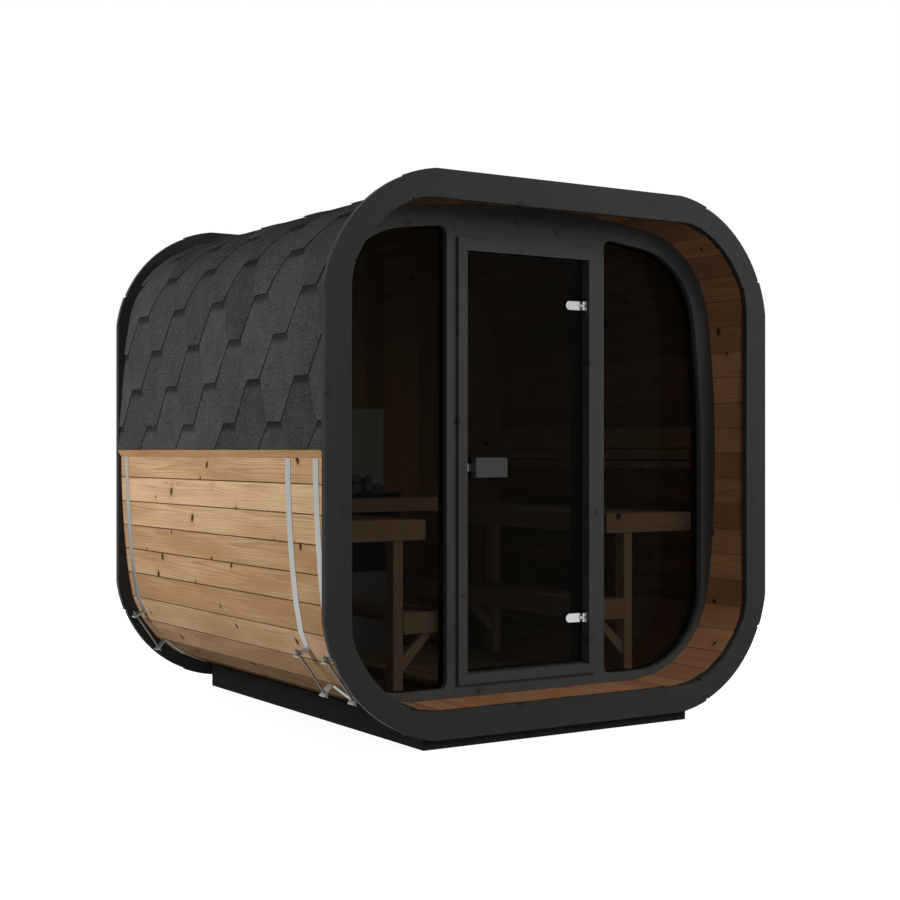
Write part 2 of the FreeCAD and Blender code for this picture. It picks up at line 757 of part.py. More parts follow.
node(grouped("door_jambs", [
    board(f"door_jamb_{side}", (low, "frame_face"), ("frame_front", "frame_deep"),
          ("opening_low", "door_height"))
    for side, low in (("left", "0 - frame_half"), ("right", "door_width / 2"))
]), "door_jambs")
node(board("door_frame_head", ("0 - frame_half", "2 * frame_half"),
           ("frame_front", "frame_deep"), ("opening_high", "frame_head")), "door_frame_head")
node(board("door_frame_sill", ("0 - frame_half", "2 * frame_half"),
           ("frame_front", "frame_deep"), ("opening_low - frame_sill", "frame_sill")),
     "door_frame_sill")
stop_depth = ("leaf_rear + stop_gap", "stop_deep")
node(joined("door_stop", [
    board("door_stop_left", ("0 - door_width / 2", "stop_wide"), stop_depth,
          ("opening_low", "door_height")),
    board("door_stop_right", ("door_width / 2 - stop_wide", "stop_wide"), stop_depth,
          ("opening_low", "door_height")),
    board("door_stop_top", ("0 - door_width / 2", "door_width"), stop_depth,
          ("opening_high - stop_wide", "stop_wide")),
]), "door_stop")


# The glass door with its hinges, handles and catch.

node(board("door_glass", ("0 - leaf_half", "2 * leaf_half"), ("leaf_front", "leaf_thick"),
           ("opening_low + leaf_gap", "door_height - 2 * leaf_gap")), "door_glass")


def upright(name, radius, low, tall):
    """An upright cylinder on the hinge axis."""
    pin = doc.addObject("Part::Cylinder", name)
    bind(pin, Radius=radius, Height=tall, Placement__Base__x="hinge_x",
         Placement__Base__y="hinge_y", Placement__Base__z=low)
    return pin


def clamp_outline(level):
    """A hinge clamp's face: square at the hinge, round at its free end."""
    end = at.hinge_x - at.knuckle_radius
    half = at.hinge_tall / 2
    turn = end - at.hinge_long + half
    return [
        (turn, level - half), (end, level - half), (end, level + half), (turn, level + half),
        ((turn - half, level), (turn, level - half)),
    ]


def hinge(label, level):
    """One hinge: what is fixed to the jamb, and what is clamped on the glass."""
    name = f"hinge_{label}"
    plate = board(f"{name}_plate", ("plate_face", "plate_thick"),
                  ("hinge_y - plate_deep / 2", "plate_deep"),
                  (f"{level} - plate_tall / 2", "plate_tall"))
    fixed = [plate, upright(f"{name}_pin", "knuckle_radius / 2",
                            f"{level} - hinge_tall / 2", "hinge_tall")]
    for end, low in (("low", f"{level} - hinge_tall / 2"), ("high", f"{level} + hinge_tall / 6")):
        fixed.append(upright(f"{name}_knuckle_{end}", "knuckle_radius", low, "hinge_tall / 3"))
        fixed.append(board(f"{name}_ear_{end}", ("hinge_x", "hinge_side_gap"),
                           ("hinge_y - knuckle_radius / 2", "knuckle_radius"),
                           (low, "hinge_tall / 3")))
    middle = (f"{level} - hinge_tall / 6 + knuckle_gap", "hinge_tall / 3 - 2 * knuckle_gap")
    face = clamp_outline(getattr(at, level))
    front = profile(f"{name}_front", [face], "leaf_front - clamp_thick", "clamp_thick")
    back = profile(f"{name}_back", [face], "leaf_rear", "clamp_thick")
    moving = joined(f"{name}_moving", [
        front,
        upright(f"{name}_knuckle", "knuckle_radius", *middle),
        board(f"{name}_ear", ("hinge_x - 2 * knuckle_radius", "2 * knuckle_radius"),
              ("hinge_y", "hinge_front_gap - clamp_thick / 2"), middle),
    ])
    bored = doc.addObject("Part::Cut", f"{name}_bored")
    bored.Base = moving
    bored.Tool = upright(f"{name}_bore", "knuckle_radius / 2 + pin_gap",
                         f"{level} - hinge_tall", "2 * hinge_tall")
    return joined(f"{name}_fixed", fixed), [bored, back]


fixed_low, moving_low = hinge("low", "hinge_low")
fixed_high, moving_high = hinge("high", "hinge_high")
node(grouped("door_hinge_plates", [fixed_low, fixed_high]), "door_hinge_plates")
node(grouped("door_hinge_clamps", moving_low + moving_high), "door_hinge_clamps")

for name, low in (("outside", "leaf_front - handle_thick"), ("inside", "leaf_rear")):
    node(board(f"door_handle_{name}", ("handle_inset - leaf_half", "handle_long"),
               (low, "handle_thick"), ("handle_mid - handle_tall / 2", "handle_tall")),
         f"door_handle_{name}")
node(grouped("door_catch", [
    board(f"door_catch_{name}", ("0 - leaf_half", "catch_long"), (low, "catch_thick"),
          ("handle_mid - catch_tall / 2", "catch_tall"))
    for name, low in (("front", "leaf_front - catch_thick"), ("back", "leaf_rear"))
]), "door_catch")


# The back wall.

whole = path(0, stave_count, -at.seat_gap)[:-1]
node(profile("back_wall", [raised(whole)], "room_rear", "back_thick"), "back_wall")


# The benches, their legs and the backrests.

def across(side, low, size):
    """Low corner and size along X for a stretch on the right, or mirrored for side -1."""
    return (low, size) if side > 0 else (f"0 - ({low}) - ({size})", size)


def rows(name, side, start, end, count):
    """X formulas of equal boards with gaps between them, from start to end."""
    wide = f"(({end}) - ({start}) - {count - 1} * {name}) / {count}"
    return [across(side, f"({start}) + {i} * ({wide} + {name})", wide) for i in range(count)]


def bench(name, side, edge, outer, top, under, count):
    """A bench: boards along the cabin on bearers, with an edge board towards the room."""
    tall = f"{top} - {under}"
    pieces = [board(f"{name}_edge", across(side, edge, "slat_thick"),
                    ("room_front", "room_length"), (under, tall))]
    inner = f"{edge} + slat_thick"
    for i, x in enumerate(rows("slat_gap", side, inner, outer, count)):
        pieces.append(board(f"{name}_board_{i}", x, ("room_front", "room_length"),
                            (f"{top} - slat_thick", "slat_thick")))
    for i, y in enumerate(("room_front", "leg_rear", "room_rear - leg_depth")):
        pieces.append(board(f"{name}_bearer_{i}", across(side, inner, f"{outer} - ({inner})"),
                            (y, "leg_depth"), (under, f"{tall} - slat_thick")))
    return joined(name, pieces)


def leg(name, side, y):
    """A bench leg, its foot cut to the floor, with a diagonal brace under the lower bench."""
    foot = path(position_at(at.leg_outer, False), position_at(at.leg_inner, False), -at.seat_gap)
    head = at.upper_under - at.mid
    post = foot + [(at.leg_inner, head), (at.leg_outer, head)]
    under = at.lower_under - at.mid
    low = under - at.brace_drop
    let_in = at.leg_inner + at.brace_bite
    brace_end = at.leg_inner - at.brace_reach
    brace = [
        (let_in, low), (let_in, low + at.brace_wide),
        (brace_end + at.brace_top, under), (brace_end, under),
    ]
    return joined(name, [
        profile(f"{name}_post", [raised(sided(post, side))], y, "leg_depth"),
        profile(f"{name}_brace", [raised(sided(brace, side))],
                f"{y} + (leg_depth - brace_thick) / 2", "brace_thick"),
    ])


for name, side in SIDES:
    node(bench(f"{name}_upper_bench", side, "bench_edge", "bench_outer",
               "upper_top", "upper_under", UPPER_BENCH_BOARDS), f"{name}_upper_bench")
    node(bench(f"{name}_lower_bench", side, "lower_edge", "leg_inner",
               "lower_top", "lower_under", LOWER_BENCH_BOARDS), f"{name}_lower_bench")
    node(grouped(f"{name}_bench_legs", [
        leg(f"{name}_leg_front", side, "room_front"),
        leg(f"{name}_leg_rear", side, "leg_rear"),
    ]), f"{name}_bench_legs")
    rest = []
    level = "rest_top"
    for i, wide in enumerate(("rest_upper_height", "rest_middle_height", "rest_lower_height")):
        rest.append(board(f"{name}_rest_slat_{i}",
                          across(side, "rest_back - rest_slat", "rest_slat"),
                          ("room_front", "room_length"), (f"{level} - {wide}", wide)))
        level = f"{level} - {wide} - rest_gap"
    tall = "rest_upper_height + rest_middle_height + rest_lower_height + 2 * rest_gap"
    for i, y in enumerate(("room_front", "leg_rear", "room_rear - leg_depth")):
        rest.append(board(f"{name}_rest_spacer_{i}", across(side, "rest_back", "rest_spacer"),
                          (y, "leg_depth"), (f"rest_top - ({tall})", tall)))
    node(joined(f"{name}_backrest", rest), f"{name}_backrest")


# The slatted floor.

duck_start = "room_front + duck_end_gap"
duck_run = "plate_front - room_front - 2 * duck_end_gap"
duck = []
floor_rows = rows("duck_gap", 1, "0 - duck_width / 2", "duck_width / 2", FLOOR_BOARDS)
for i, x in enumerate(floor_rows):
    duck.append(board(f"duck_board_{i}", x, (duck_start, duck_run),
                      ("floor_top + duck_thick", "duck_thick")))
for i in range(FLOOR_BATTENS):
    step = f"({duck_run} - leg_depth) / {FLOOR_BATTENS - 1}"
    duck.append(board(f"duck_batten_{i}", ("0 - duck_width / 2", "duck_width"),
                      (f"{duck_start} + {i} * {step}", "leg_depth"),
                      ("floor_top", "duck_thick")))
node(joined("slatted_floor", duck), "slatted_floor")


# The heater, its shield, its floor plate and its guard rail.

node(board("heater_floor_plate", ("0 - plate_width / 2", "plate_width"),
           ("plate_front", "plate_length"), ("floor_top", "floor_plate_thick")),
     "heater_floor_plate")
node(board("heater_guard_rail", ("0 - bench_edge", "2 * bench_edge"),
           ("guard_rear - guard_thick", "guard_thick"), ("guard_top - guard_tall", "guard_tall")),
     "heater_guard_rail")
shield = [board("heat_shield_sheet", ("0 - shield_width / 2", "shield_width"),
                ("room_rear - shield_gap - shield_thick", "shield_thick"),
                ("floor_top + shield_foot", "shield_level - shield_foot"))]
for i, x in enumerate(("shield_inset - shield_width / 2", "shield_width / 2 - 2 * shield_inset")):
    for j, z in enumerate(("floor_top + shield_foot + shield_inset",
                           "floor_top + shield_level - 2 * shield_inset")):
        shield.append(board(f"heat_shield_spacer_{i}{j}", (x, "shield_inset"),
                            ("room_rear - shield_gap", "shield_gap"), (z, "shield_inset")))
node(joined("heat_shield", shield), "heat_shield")


def rounded_tube(name, inset, low, tall, plates):
    """An upright sheet tube with rounded edges and level plates across it."""
    box = board(f"{name}_block",
                (f"{inset} - heater_width / 2", f"heater_width - 2 * ({inset})"),
                (f"heater_front + {inset}", f"heater_deep - 2 * ({inset})"), (low, tall))
    doc.recompute()
    upright_edges = [
        i for i, edge in enumerate(box.Shape.Edges, start=1)
        if abs(edge.Vertexes[0].Z - edge.Vertexes[1].Z) > 1
    ]
    rounded = doc.addObject("Part::Fillet", f"{name}_rounded")
    rounded.Base = box
    rounded.Edges = [(i, at.heater_round, at.heater_round) for i in upright_edges]
    doc.recompute()
    ends = [
        f"Face{i}" for i, face in enumerate(rounded.Shape.Faces, start=1)
        if abs(abs(face.normalAt(0, 0).z) - 1) < 1e-6
    ]
    shell = doc.addObject("Part::Thickness", f"{name}_skin")
    shell.Faces = (rounded, ends)
    shell.Join = 2
    bind(shell, Value="0 - heater_skin")
    pieces = [shell]
    for number, level in enumerate(plates):
        sheet_block = board(f"{name}_sheet_{number}",
                            (f"{inset} - heater_width / 2", f"heater_width - 2 * ({inset})"),
                            (f"heater_front + {inset}", f"heater_deep - 2 * ({inset})"),
                            (level, "heater_skin"))
        plate = doc.addObject("Part::Common", f"{name}_plate_{number}")
        plate.Base = sheet_block
        plate.Tool = rounded
        pieces.append(plate)
    return joined(name, pieces) if plates else shell


bed = "heater_top - stone_bed"
node(rounded_tube("heater_casing", "0", "heater_under", "heater_tall",
                  [f"{bed} - heater_skin", "heater_under"]), "heater_casing")
node(rounded_tube("heater_stand", "stand_inset", "plate_top", "heater_under - plate_top", []),
     "heater_stand")
stones = board("stone_block",
               ("heater_skin + stone_gap - heater_width / 2",
                "heater_width - 2 * (heater_skin + stone_gap)"),
               ("heater_front + heater_skin + stone_gap",
                "heater_deep - 2 * (heater_skin + stone_gap)"),
               (bed, "stone_bed + stone_heap"))
doc.recompute()
heap = doc.addObject("Part::Fillet", "stone_heap_rounded")
heap.Base = stones
heap.Edges = [
    (i, at.heater_round, at.heater_round) for i, edge in enumerate(stones.Shape.Edges, start=1)
    if abs(edge.Vertexes[0].Z - edge.Vertexes[1].Z) > 1
]
doc.recompute()
crown = doc.addObject("Part::Chamfer", "stone_heap_crown")
crown.Base = heap
crown.Edges = [
    (i, at.stone_slope, at.stone_slope) for i, edge in enumerate(heap.Shape.Edges, start=1)
    if edge.BoundBox.ZMin > at.heater_top + 1
]
node(crown, "heater_stones")


# The steel bands and their tension rods.

low_corner_centre = tunnel_spans()[0][3][0]
rod_middle = stave_position(lambda point: math.degrees(math.atan2(
    point[1] - low_corner_centre[1], point[0] - low_corner_centre[0])) < -at.rod_angle)
lug_run = at.lug_spread / 2 / stave_run * at.lower_corner / (at.lower_corner + at.rod_stand)
lug_high, lug_low = rod_middle - lug_run, rod_middle + lug_run
band_start = stave_position(lambda point: point[1] < -at.band_top)


def lug(name, position, side, start, depth):
    """A lug folded out of a band's end, with a hole for the rod."""
    foot = offset_point(position, at.stave_thick + at.band_thick / 2)
    tip = offset_point(position, at.stave_thick + at.rod_stand + at.lug_over)
    run = math.dist(foot, tip)
    nx, nz = (tip[0] - foot[0]) / run, (tip[1] - foot[1]) / run
    half = at.lug_thick / 2
    outline = [
        (foot[0] - nz * half, foot[1] + nx * half), (tip[0] - nz * half, tip[1] + nx * half),
        (tip[0] + nz * half, tip[1] - nx * half), (foot[0] + nz * half, foot[1] - nx * half),
    ]
    return profile(name, [raised(sided(outline, side))], start, depth)


def rod_ends(side):
    """The rod's axis through both lugs: its middle, and a unit vector from upper to lower lug."""
    upper = offset_point(lug_high, at.stave_thick + at.rod_stand)
    lower = offset_point(lug_low, at.stave_thick + at.rod_stand)
    run = math.dist(upper, lower)
    axis = Vec(side * (lower[0] - upper[0]) / run, 0, (lower[1] - upper[1]) / run)
    middle = Vec(side * (upper[0] + lower[0]) / 2, 0, (upper[1] + lower[1]) / 2 + at.mid)
    return middle, axis, run


def rod(side, y):
    """A tension rod with a nut outside each lug."""
    middle, axis, run = rod_ends(side)
    middle.y = y
    bar = Part.makeCylinder(at.rod_radius, at.rod_long, middle - axis * (at.rod_long / 2), axis)
    for way in (-1, 1):
        seat = middle + axis * (way * (run / 2 + at.nut_off))
        corner = Vec(0, 1, 0) * (at.nut_across / math.sqrt(3))
        points = [
            seat + FreeCAD.Rotation(axis, 60 * i).multVec(corner) for i in range(6)
        ]
        face = Part.Face(Part.makePolygon(points + points[:1]))
        bar = bar.fuse(face.extrude(axis * (way * at.nut_thick)))
    return bar.removeSplitter()


def drilled(name, pieces, y):
    """Strap pieces joined up and bored for the rods on both sides."""
    strap = joined(f"{name}_blank", pieces)
    bores = doc.addObject("Part::Feature", f"{name}_bores")
    holes = []
    for side in (-1, 1):
        middle, axis, run = rod_ends(side)
        middle.y = y
        holes.append(Part.makeCylinder(at.rod_radius + at.rod_gap, at.rod_long,
                                       middle - axis * (at.rod_long / 2), axis))
    bores.Shape = holes[0].fuse(holes[1])
    cut = doc.addObject("Part::Cut", name)
    cut.Base = strap
    cut.Tool = bores
    return cut


def band(name):
    """One steel band: an upright strap on each side and a strap under the floor."""
    start = f"{name}_middle - band_wide / 2"
    y = getattr(at, f"{name}_middle")
    inner, outer = at.stave_thick, at.stave_thick + at.band_thick
    under = raised(strip(lug_low, stave_count - lug_low, inner, outer))
    under_pieces = [profile(f"{name}_under_strap", [under], start, "band_wide")]
    straps = []
    for label, side in SIDES:
        upright_strap = raised(sided(strip(band_start, lug_high, inner, outer), side))
        strap = profile(f"{name}_{label}_strap", [upright_strap], start, "band_wide")
        ear = lug(f"{name}_{label}_lug", lug_high, side, start, "band_wide")
        straps.append(drilled(f"{name}_{label}", [strap, ear], y))
        under_pieces.append(lug(f"{name}_{label}_low_lug", lug_low, side, start, "band_wide"))
    straps.append(drilled(f"{name}_under", under_pieces, y))
    return grouped(name, straps)


rods = []
for name in ("front_band", "middle_band", "rear_band"):
    node(band(name), name)
    for label, side in SIDES:
        piece = doc.addObject("Part::Feature", f"{name}_{label}_rod")
        piece.Shape = rod(side, getattr(at, f"{name}_middle"))
        rods.append(piece)
node(grouped("band_tensioners", rods), "band_tensioners")


# Check every object and write the nodes.

doc.recompute()
for piece in doc.Objects:
    if "Invalid" in piece.State or "Error" in piece.State:
        raise SystemExit(f"{piece.Label}: {piece.State}")
os.makedirs("parts", exist_ok=True)
for name, piece in nodes.items():
    shape = piece.Shape
    if shape.isNull() or not shape.isValid():
        raise SystemExit(f"{name}: no valid shape")
    shape.exportStep(f"parts/{name}.step")
    print(f"{name}: {len(shape.Solids)} solid(s), {shape.Volume / 1e9:.5f} m3")
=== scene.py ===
"""Looks of the outdoor sauna cabin: staves, shingles, stained boards, tinted glass and the room behind.

Metres, +Z up, the glazed front faces -Y. Shapes are worked out from the frame's own nodes.
"""
import math
import random

import bmesh
import bpy
import numpy as np
from mathutils import Matrix, Vector, noise

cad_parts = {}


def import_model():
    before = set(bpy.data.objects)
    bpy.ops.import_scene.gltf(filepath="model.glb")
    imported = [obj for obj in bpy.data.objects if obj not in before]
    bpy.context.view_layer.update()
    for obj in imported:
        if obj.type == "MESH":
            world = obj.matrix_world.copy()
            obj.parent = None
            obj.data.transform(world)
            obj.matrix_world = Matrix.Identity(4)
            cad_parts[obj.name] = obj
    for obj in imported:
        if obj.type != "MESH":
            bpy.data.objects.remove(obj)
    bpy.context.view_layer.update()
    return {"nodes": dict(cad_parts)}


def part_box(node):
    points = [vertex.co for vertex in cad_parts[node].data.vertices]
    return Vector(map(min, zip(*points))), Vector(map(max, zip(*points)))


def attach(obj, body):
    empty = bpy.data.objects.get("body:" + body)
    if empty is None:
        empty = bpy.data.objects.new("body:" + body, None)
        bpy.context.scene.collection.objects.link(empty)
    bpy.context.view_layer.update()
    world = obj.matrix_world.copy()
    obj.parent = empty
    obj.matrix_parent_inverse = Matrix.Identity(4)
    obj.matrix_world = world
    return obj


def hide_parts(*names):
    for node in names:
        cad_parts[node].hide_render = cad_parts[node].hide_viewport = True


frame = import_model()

nodes = frame["nodes"]

# Boards: the grooves between them, the back wall's board width and seat, the leg of a ring's
# corner board, the planks of the stained and bench wood, and year rings to the metre.
STAVE_GROOVE = 0.0026
BOARD_GROOVE = 0.003
BACK_BOARD = 0.1
BOARD_SEAT = 0.0004
RING_CORNER = 0.528
PLANK = 0.13
YEAR_RINGS = 150

# Shingle tabs: their pattern, their outside's height above the staves at the flat end, at the
# shoulder and where the next course but one begins, and how they lift at the roof's lower edge.
TAB_PITCH = 0.403
TAB_FLAT = 0.115
TAB_EXPOSURE = 0.165
TAB_LONG = 2 * TAB_EXPOSURE + 0.015
TAB_THICK = 0.0042
TAB_LIFT = (0.0095, 0.0052, 0.0022)
TAB_MIDDLE = 0.204
TAB_STEP = 0.02
TAB_GAP = 0.0005
CURL = 0.0012
CURL_REACH = 0.06
RIDGE_LAP = 0.08
FLATS_ABOVE_EDGE = 0.104
EAVE_KICK = 0.013
EAVE_REACH = 0.15

# The ridge's caps: half their width, their length, and their height at the front and rear end.
CAP_HALF = 0.15
CAP_LONG = 0.33
CAP_COUNT = 14
CAP_LIFT = (0.0155, 0.0105)

# Inside: the benches' end boards, and the heap of stones with its count in each layer.
END_BOARD = 0.007
END_MARGIN = 0.024
STONE_SIZE = 0.036
STONE_RISE = 0.034
STONE_LEAN = 0.1
STONE_LAYERS = ((6, 5), (5, 4), (4, 3), (2, 2))

# Rods: the thread's pitch and depths as shares of the radius, and the nuts' chamfer.
THREAD_PITCH = 0.003
THREAD_CREST = 0.99
THREAD_ROOT = 0.82
ROD_END = 0.8
NUT_EDGE = 0.86

# Studio: the horizon's bright belt, the dome above it, and the photograph's viewpoint.
BELT_HEIGHT = 0.22
BELT_LIGHT = 0.75
DOME_LIGHT = 0.02
FLOOR_RADIUS = 40
CAMERA_PLACE = (-3.624, -5.8635, 1.103)
CAMERA_TURN = -32.57
CAMERA_LENS = 62.42


# Materials.

class Graph:
    """The nodes of a material or world, with short calls to make and join them."""

    def __init__(self, owner):
        owner.use_nodes = True
        self.tree = owner.node_tree
        self.tree.nodes.clear()

    def add(self, kind, **settings):
        """A new node with these settings."""
        node = self.tree.nodes.new(kind)
        for key, value in settings.items():
            setattr(node, key, value)
        return node

    def join(self, source, target):
        """Link a socket to an input, or set the input to a plain value."""
        if isinstance(source, bpy.types.NodeSocket):
            self.tree.links.new(source, target)
        else:
            target.default_value = source

    def calc(self, operation, a, b=0.0, clamp=False):
        """One operation on numbers."""
        node = self.add("ShaderNodeMath", operation=operation, use_clamp=clamp)
        self.join(a, node.inputs[0])
        self.join(b, node.inputs[1])
        return node.outputs[0]

    def times(self, a, b):
        """Product of two numbers."""
        return self.calc("MULTIPLY", a, b)

    def total(self, *terms):
        """Sum of all these numbers."""
        value = terms[0]
        for term in terms[1:]:
            value = self.calc("ADD", value, term)
        return value

    def hypot(self, a, b):
        """Length of a vector with these two components."""
        return self.calc("SQRT", self.calc("ADD", self.calc("POWER", a, 2), self.calc("POWER", b, 2)))

    def swing(self, value, size):
        """A value from 0 to 1 as one that swings round zero."""
        return self.times(self.calc("SUBTRACT", value, 0.5), size)

    def vector(self, x, y, z=0.0):
        """A vector of three numbers."""
        node = self.add("ShaderNodeCombineXYZ")
        for source, target in zip((x, y, z), node.inputs):
            self.join(source, target)
        return node.outputs[0]

    def parts(self, vector):
        """The three numbers of a vector."""
        node = self.add("ShaderNodeSeparateXYZ")
        self.join(vector, node.inputs[0])
        return node.outputs

    def stretch(self, vector, x, y, z):
        """A vector scaled along each axis."""
        node = self.add("ShaderNodeVectorMath", operation="MULTIPLY")
        self.join(vector, node.inputs[0])
        node.inputs[1].default_value = (x, y, z)
        return node.outputs[0]

    def noise(self, vector, scale=1.0, detail=2.0, roughness=0.5):
        """Soft noise from 0 to 1."""
        node = self.add("ShaderNodeTexNoise")
        self.join(vector, node.inputs["Vector"])
        node.inputs["Scale"].default_value = scale
        node.inputs["Detail"].default_value = detail
        node.inputs["Roughness"].default_value = roughness
        return node.outputs["Fac"]

    def streaks(self, u, v, w, across, along, detail):
        """Noise with one scale across the grain and another along it."""
        return self.noise(self.vector(self.times(u, across), self.times(v, along), w), 1, detail)

    def cells(self, vector, scale=1.0, flat=False):
        """Random cells: their colours and places."""
        node = self.add("ShaderNodeTexVoronoi", voronoi_dimensions="2D" if flat else "3D")
        self.join(vector, node.inputs["Vector"])
        node.inputs["Scale"].default_value = scale
        return node.outputs

    def between(self, value, low, high, start=0.0, end=1.0):
        """Smooth step of a value from low to high."""
        node = self.add("ShaderNodeMapRange", interpolation_type="SMOOTHSTEP")
        for source, target in zip((value, low, high, start, end), node.inputs):
            self.join(source, target)
        return node.outputs[0]

    def blend(self, share, first, second, how="MIX"):
        """Mix two colours."""
        node = self.add("ShaderNodeMix", data_type="RGBA", blend_type=how)
        self.join(share, node.inputs["Factor"])
        colours = [socket for socket in node.inputs if socket.type == "RGBA"]
        for source, target in zip((first, second), colours):
            self.join(source, target)
        return next(socket for socket in node.outputs if socket.type == "RGBA")

    def grey(self, value):
        """A number as a grey colour, to multiply a colour with."""
        node = self.add("ShaderNodeCombineColor")
        for target in node.inputs:
            self.join(value, target)
        return node.outputs[0]

    def attribute(self, name):
        """A mesh's own values."""
        return self.add("ShaderNodeAttribute", attribute_name=name)

    def place(self):
        """The point on the object, in the frame of its body at rest."""
        return self.add("ShaderNodeTexCoord").outputs["Object"]

    def seen(self):
        """1 where the background itself shows: to the eye, in gloss and through glass."""
        rays = self.add("ShaderNodeLightPath").outputs
        mirrored = self.calc("MAXIMUM", rays["Is Glossy Ray"], rays["Is Transmission Ray"])
        return self.calc("MAXIMUM", rays["Is Camera Ray"], mirrored)


class Surface(Graph):
    """A new material with its shader."""

    def __init__(self, name):
        self.material = bpy.data.materials.new(name)
        super().__init__(self.material)
        self.shader = self.add("ShaderNodeBsdfPrincipled")
        output = self.add("ShaderNodeOutputMaterial")
        self.join(self.shader.outputs["BSDF"], output.inputs["Surface"])

    def put(self, **values):
        """Set the shader's own sockets; words are joined with underscores."""
        for key, value in values.items():
            self.join(value, self.shader.inputs[key.replace("_", " ")])

    def bump(self, height, strength, distance):
        """Relief of the surface."""
        node = self.add("ShaderNodeBump")
        node.inputs["Strength"].default_value = strength
        node.inputs["Distance"].default_value = distance
        self.join(height, node.inputs["Height"])
        self.join(node.outputs[0], self.shader.inputs["Normal"])


def colour(red, green, blue):
    """A colour written as sRGB levels from 0 to 255."""
    def linear(level):
        level /= 255
        return level / 12.92 if level <= 0.04045 else ((level + 0.055) / 1.055) ** 2.4
    return (linear(red), linear(green), linear(blue), 1.0)


def knots(graph, u, v, share, long, wide):
    """Knots in the grain: how far a point is inside one, and how near it lies to one."""
    cell_u, cell_v = 0.13, 0.46
    at = graph.vector(graph.calc("DIVIDE", u, cell_u), graph.calc("DIVIDE", v, cell_v))
    cells = graph.cells(at, flat=True)
    offset = graph.add("ShaderNodeVectorMath", operation="SUBTRACT")
    graph.join(at, offset.inputs[0])
    graph.join(cells["Position"], offset.inputs[1])
    du, dv, _ = graph.parts(graph.stretch(offset.outputs[0], cell_u, cell_v, 0))
    least_u, least_v = 0.006, 0.004
    chance, lean, size = graph.parts(cells["Color"])
    slant = graph.calc("SUBTRACT", graph.times(lean, 0.9), 0.45)
    dv = graph.calc("ADD", dv, graph.times(du, slant))
    reach_u = graph.total(graph.times(size, long), least_u)
    reach_v = graph.total(graph.times(size, wide), least_v)
    ragged = graph.noise(graph.vector(du, dv), 160, 1)
    far = graph.hypot(graph.calc("DIVIDE", du, reach_u), graph.calc("DIVIDE", dv, reach_v))
    far = graph.total(far, graph.times(ragged, 0.4))
    there = graph.calc("LESS_THAN", chance, share)
    inside = graph.times(graph.between(far, 1.35, 0.85), there)
    near = graph.times(graph.between(far, 4.5, 0.6), there)
    return inside, near


def grain_of(graph, along):
    """Across, along and depth of the grain, and the tone of the board, on this kind of piece."""
    if along == "board":
        u, v, w = graph.parts(graph.attribute("grain").outputs["Vector"])
        return u, v, w, graph.attribute("tone").outputs["Fac"]
    x, y, z = graph.parts(graph.place())
    first, second, third = {"X": (z, x, y), "Y": (x, y, z), "Z": (x, z, y)}[along]
    u = graph.calc("ADD", first, graph.times(third, 0.37))
    w = graph.calc("ADD", third, 0.06)
    plank = graph.calc("FLOOR", graph.calc("DIVIDE", first, PLANK))
    row = graph.calc("FLOOR", graph.calc("DIVIDE", third, PLANK))
    tone = graph.noise(graph.vector(graph.times(plank, 1.7), graph.times(row, 2.3)), 1, 0)
    shift = graph.times(plank, 3.1)
    return u, graph.calc("ADD", second, shift), w, tone


def wood(name, along, pale, deep, knot, knot_share=0.5, contrast=0.5):
    """Planed softwood with rings along its boards, darker late wood, fibres and knots."""
    graph = Surface(name)
    u, v, w, tone = grain_of(graph, along)
    bend = graph.swing(graph.streaks(u, v, w, 4, 1.1, 2), 0.07)
    inside, near = knots(graph, u, v, knot_share, 0.015, 0.011)
    heart = graph.hypot(graph.calc("ADD", u, bend), w)
    phase = graph.total(graph.times(heart, YEAR_RINGS), graph.times(v, 1.3), graph.times(near, 2.5))
    turn = graph.calc("FRACT", phase)
    late = graph.times(graph.between(turn, 0.35, 0.9), graph.between(turn, 1.0, 0.93))
    fibre = graph.streaks(u, v, w, 170, 3, 3)
    cloud = graph.streaks(u, v, w, 9, 1.6, 3)
    share = graph.total(
        graph.times(tone, 0.9), graph.times(late, 0.34 * contrast),
        graph.swing(fibre, 1.1 * contrast), graph.swing(cloud, 1.2 * contrast))
    body = graph.blend(graph.calc("ADD", share, 0.0, clamp=True), pale, deep)
    halo = graph.times(graph.calc("POWER", near, 2), 0.45)
    body = graph.blend(halo, body, deep)
    graph.put(Base_Color=graph.blend(inside, body, knot), Specular_IOR_Level=0.0,
              Roughness=graph.calc("ADD", graph.times(late, 0.12), 0.6))
    height = graph.total(graph.times(late, 0.5), graph.times(fibre, 0.6), graph.times(inside, -0.6))
    graph.bump(height, 0.25, 0.0008)
    return graph.material


def ring_grain(graph, middle, corner):
    """Across and along the boards of a ring, whose corner boards lie at 45 degrees."""
    x, y, z = graph.parts(graph.place())
    level = graph.calc("SUBTRACT", z, middle)
    a, b = graph.calc("ABSOLUTE", x), graph.calc("ABSOLUTE", level)
    far_a, far_b = graph.calc("SUBTRACT", a, corner), graph.calc("SUBTRACT", b, corner)
    lean = math.tan(math.radians(22.5))
    is_corner = graph.times(
        graph.calc("GREATER_THAN", far_a, graph.times(far_b, lean)),
        graph.calc("GREATER_THAN", far_b, graph.times(far_a, lean)))
    is_level = graph.calc("GREATER_THAN", b, a)

    def choose(share, first, second):
        rest = graph.calc("SUBTRACT", 1.0, share)
        return graph.calc("ADD", graph.times(first, rest), graph.times(second, share))

    run = choose(is_corner, choose(is_level, graph.calc("ADD", level, 3.0), x),
                 graph.total(graph.calc("SUBTRACT", a, b), graph.times(x, 2.0), 7.0))
    width = choose(is_corner, choose(is_level, a, b), graph.times(graph.calc("ADD", a, b), 0.7))
    return width, run, y


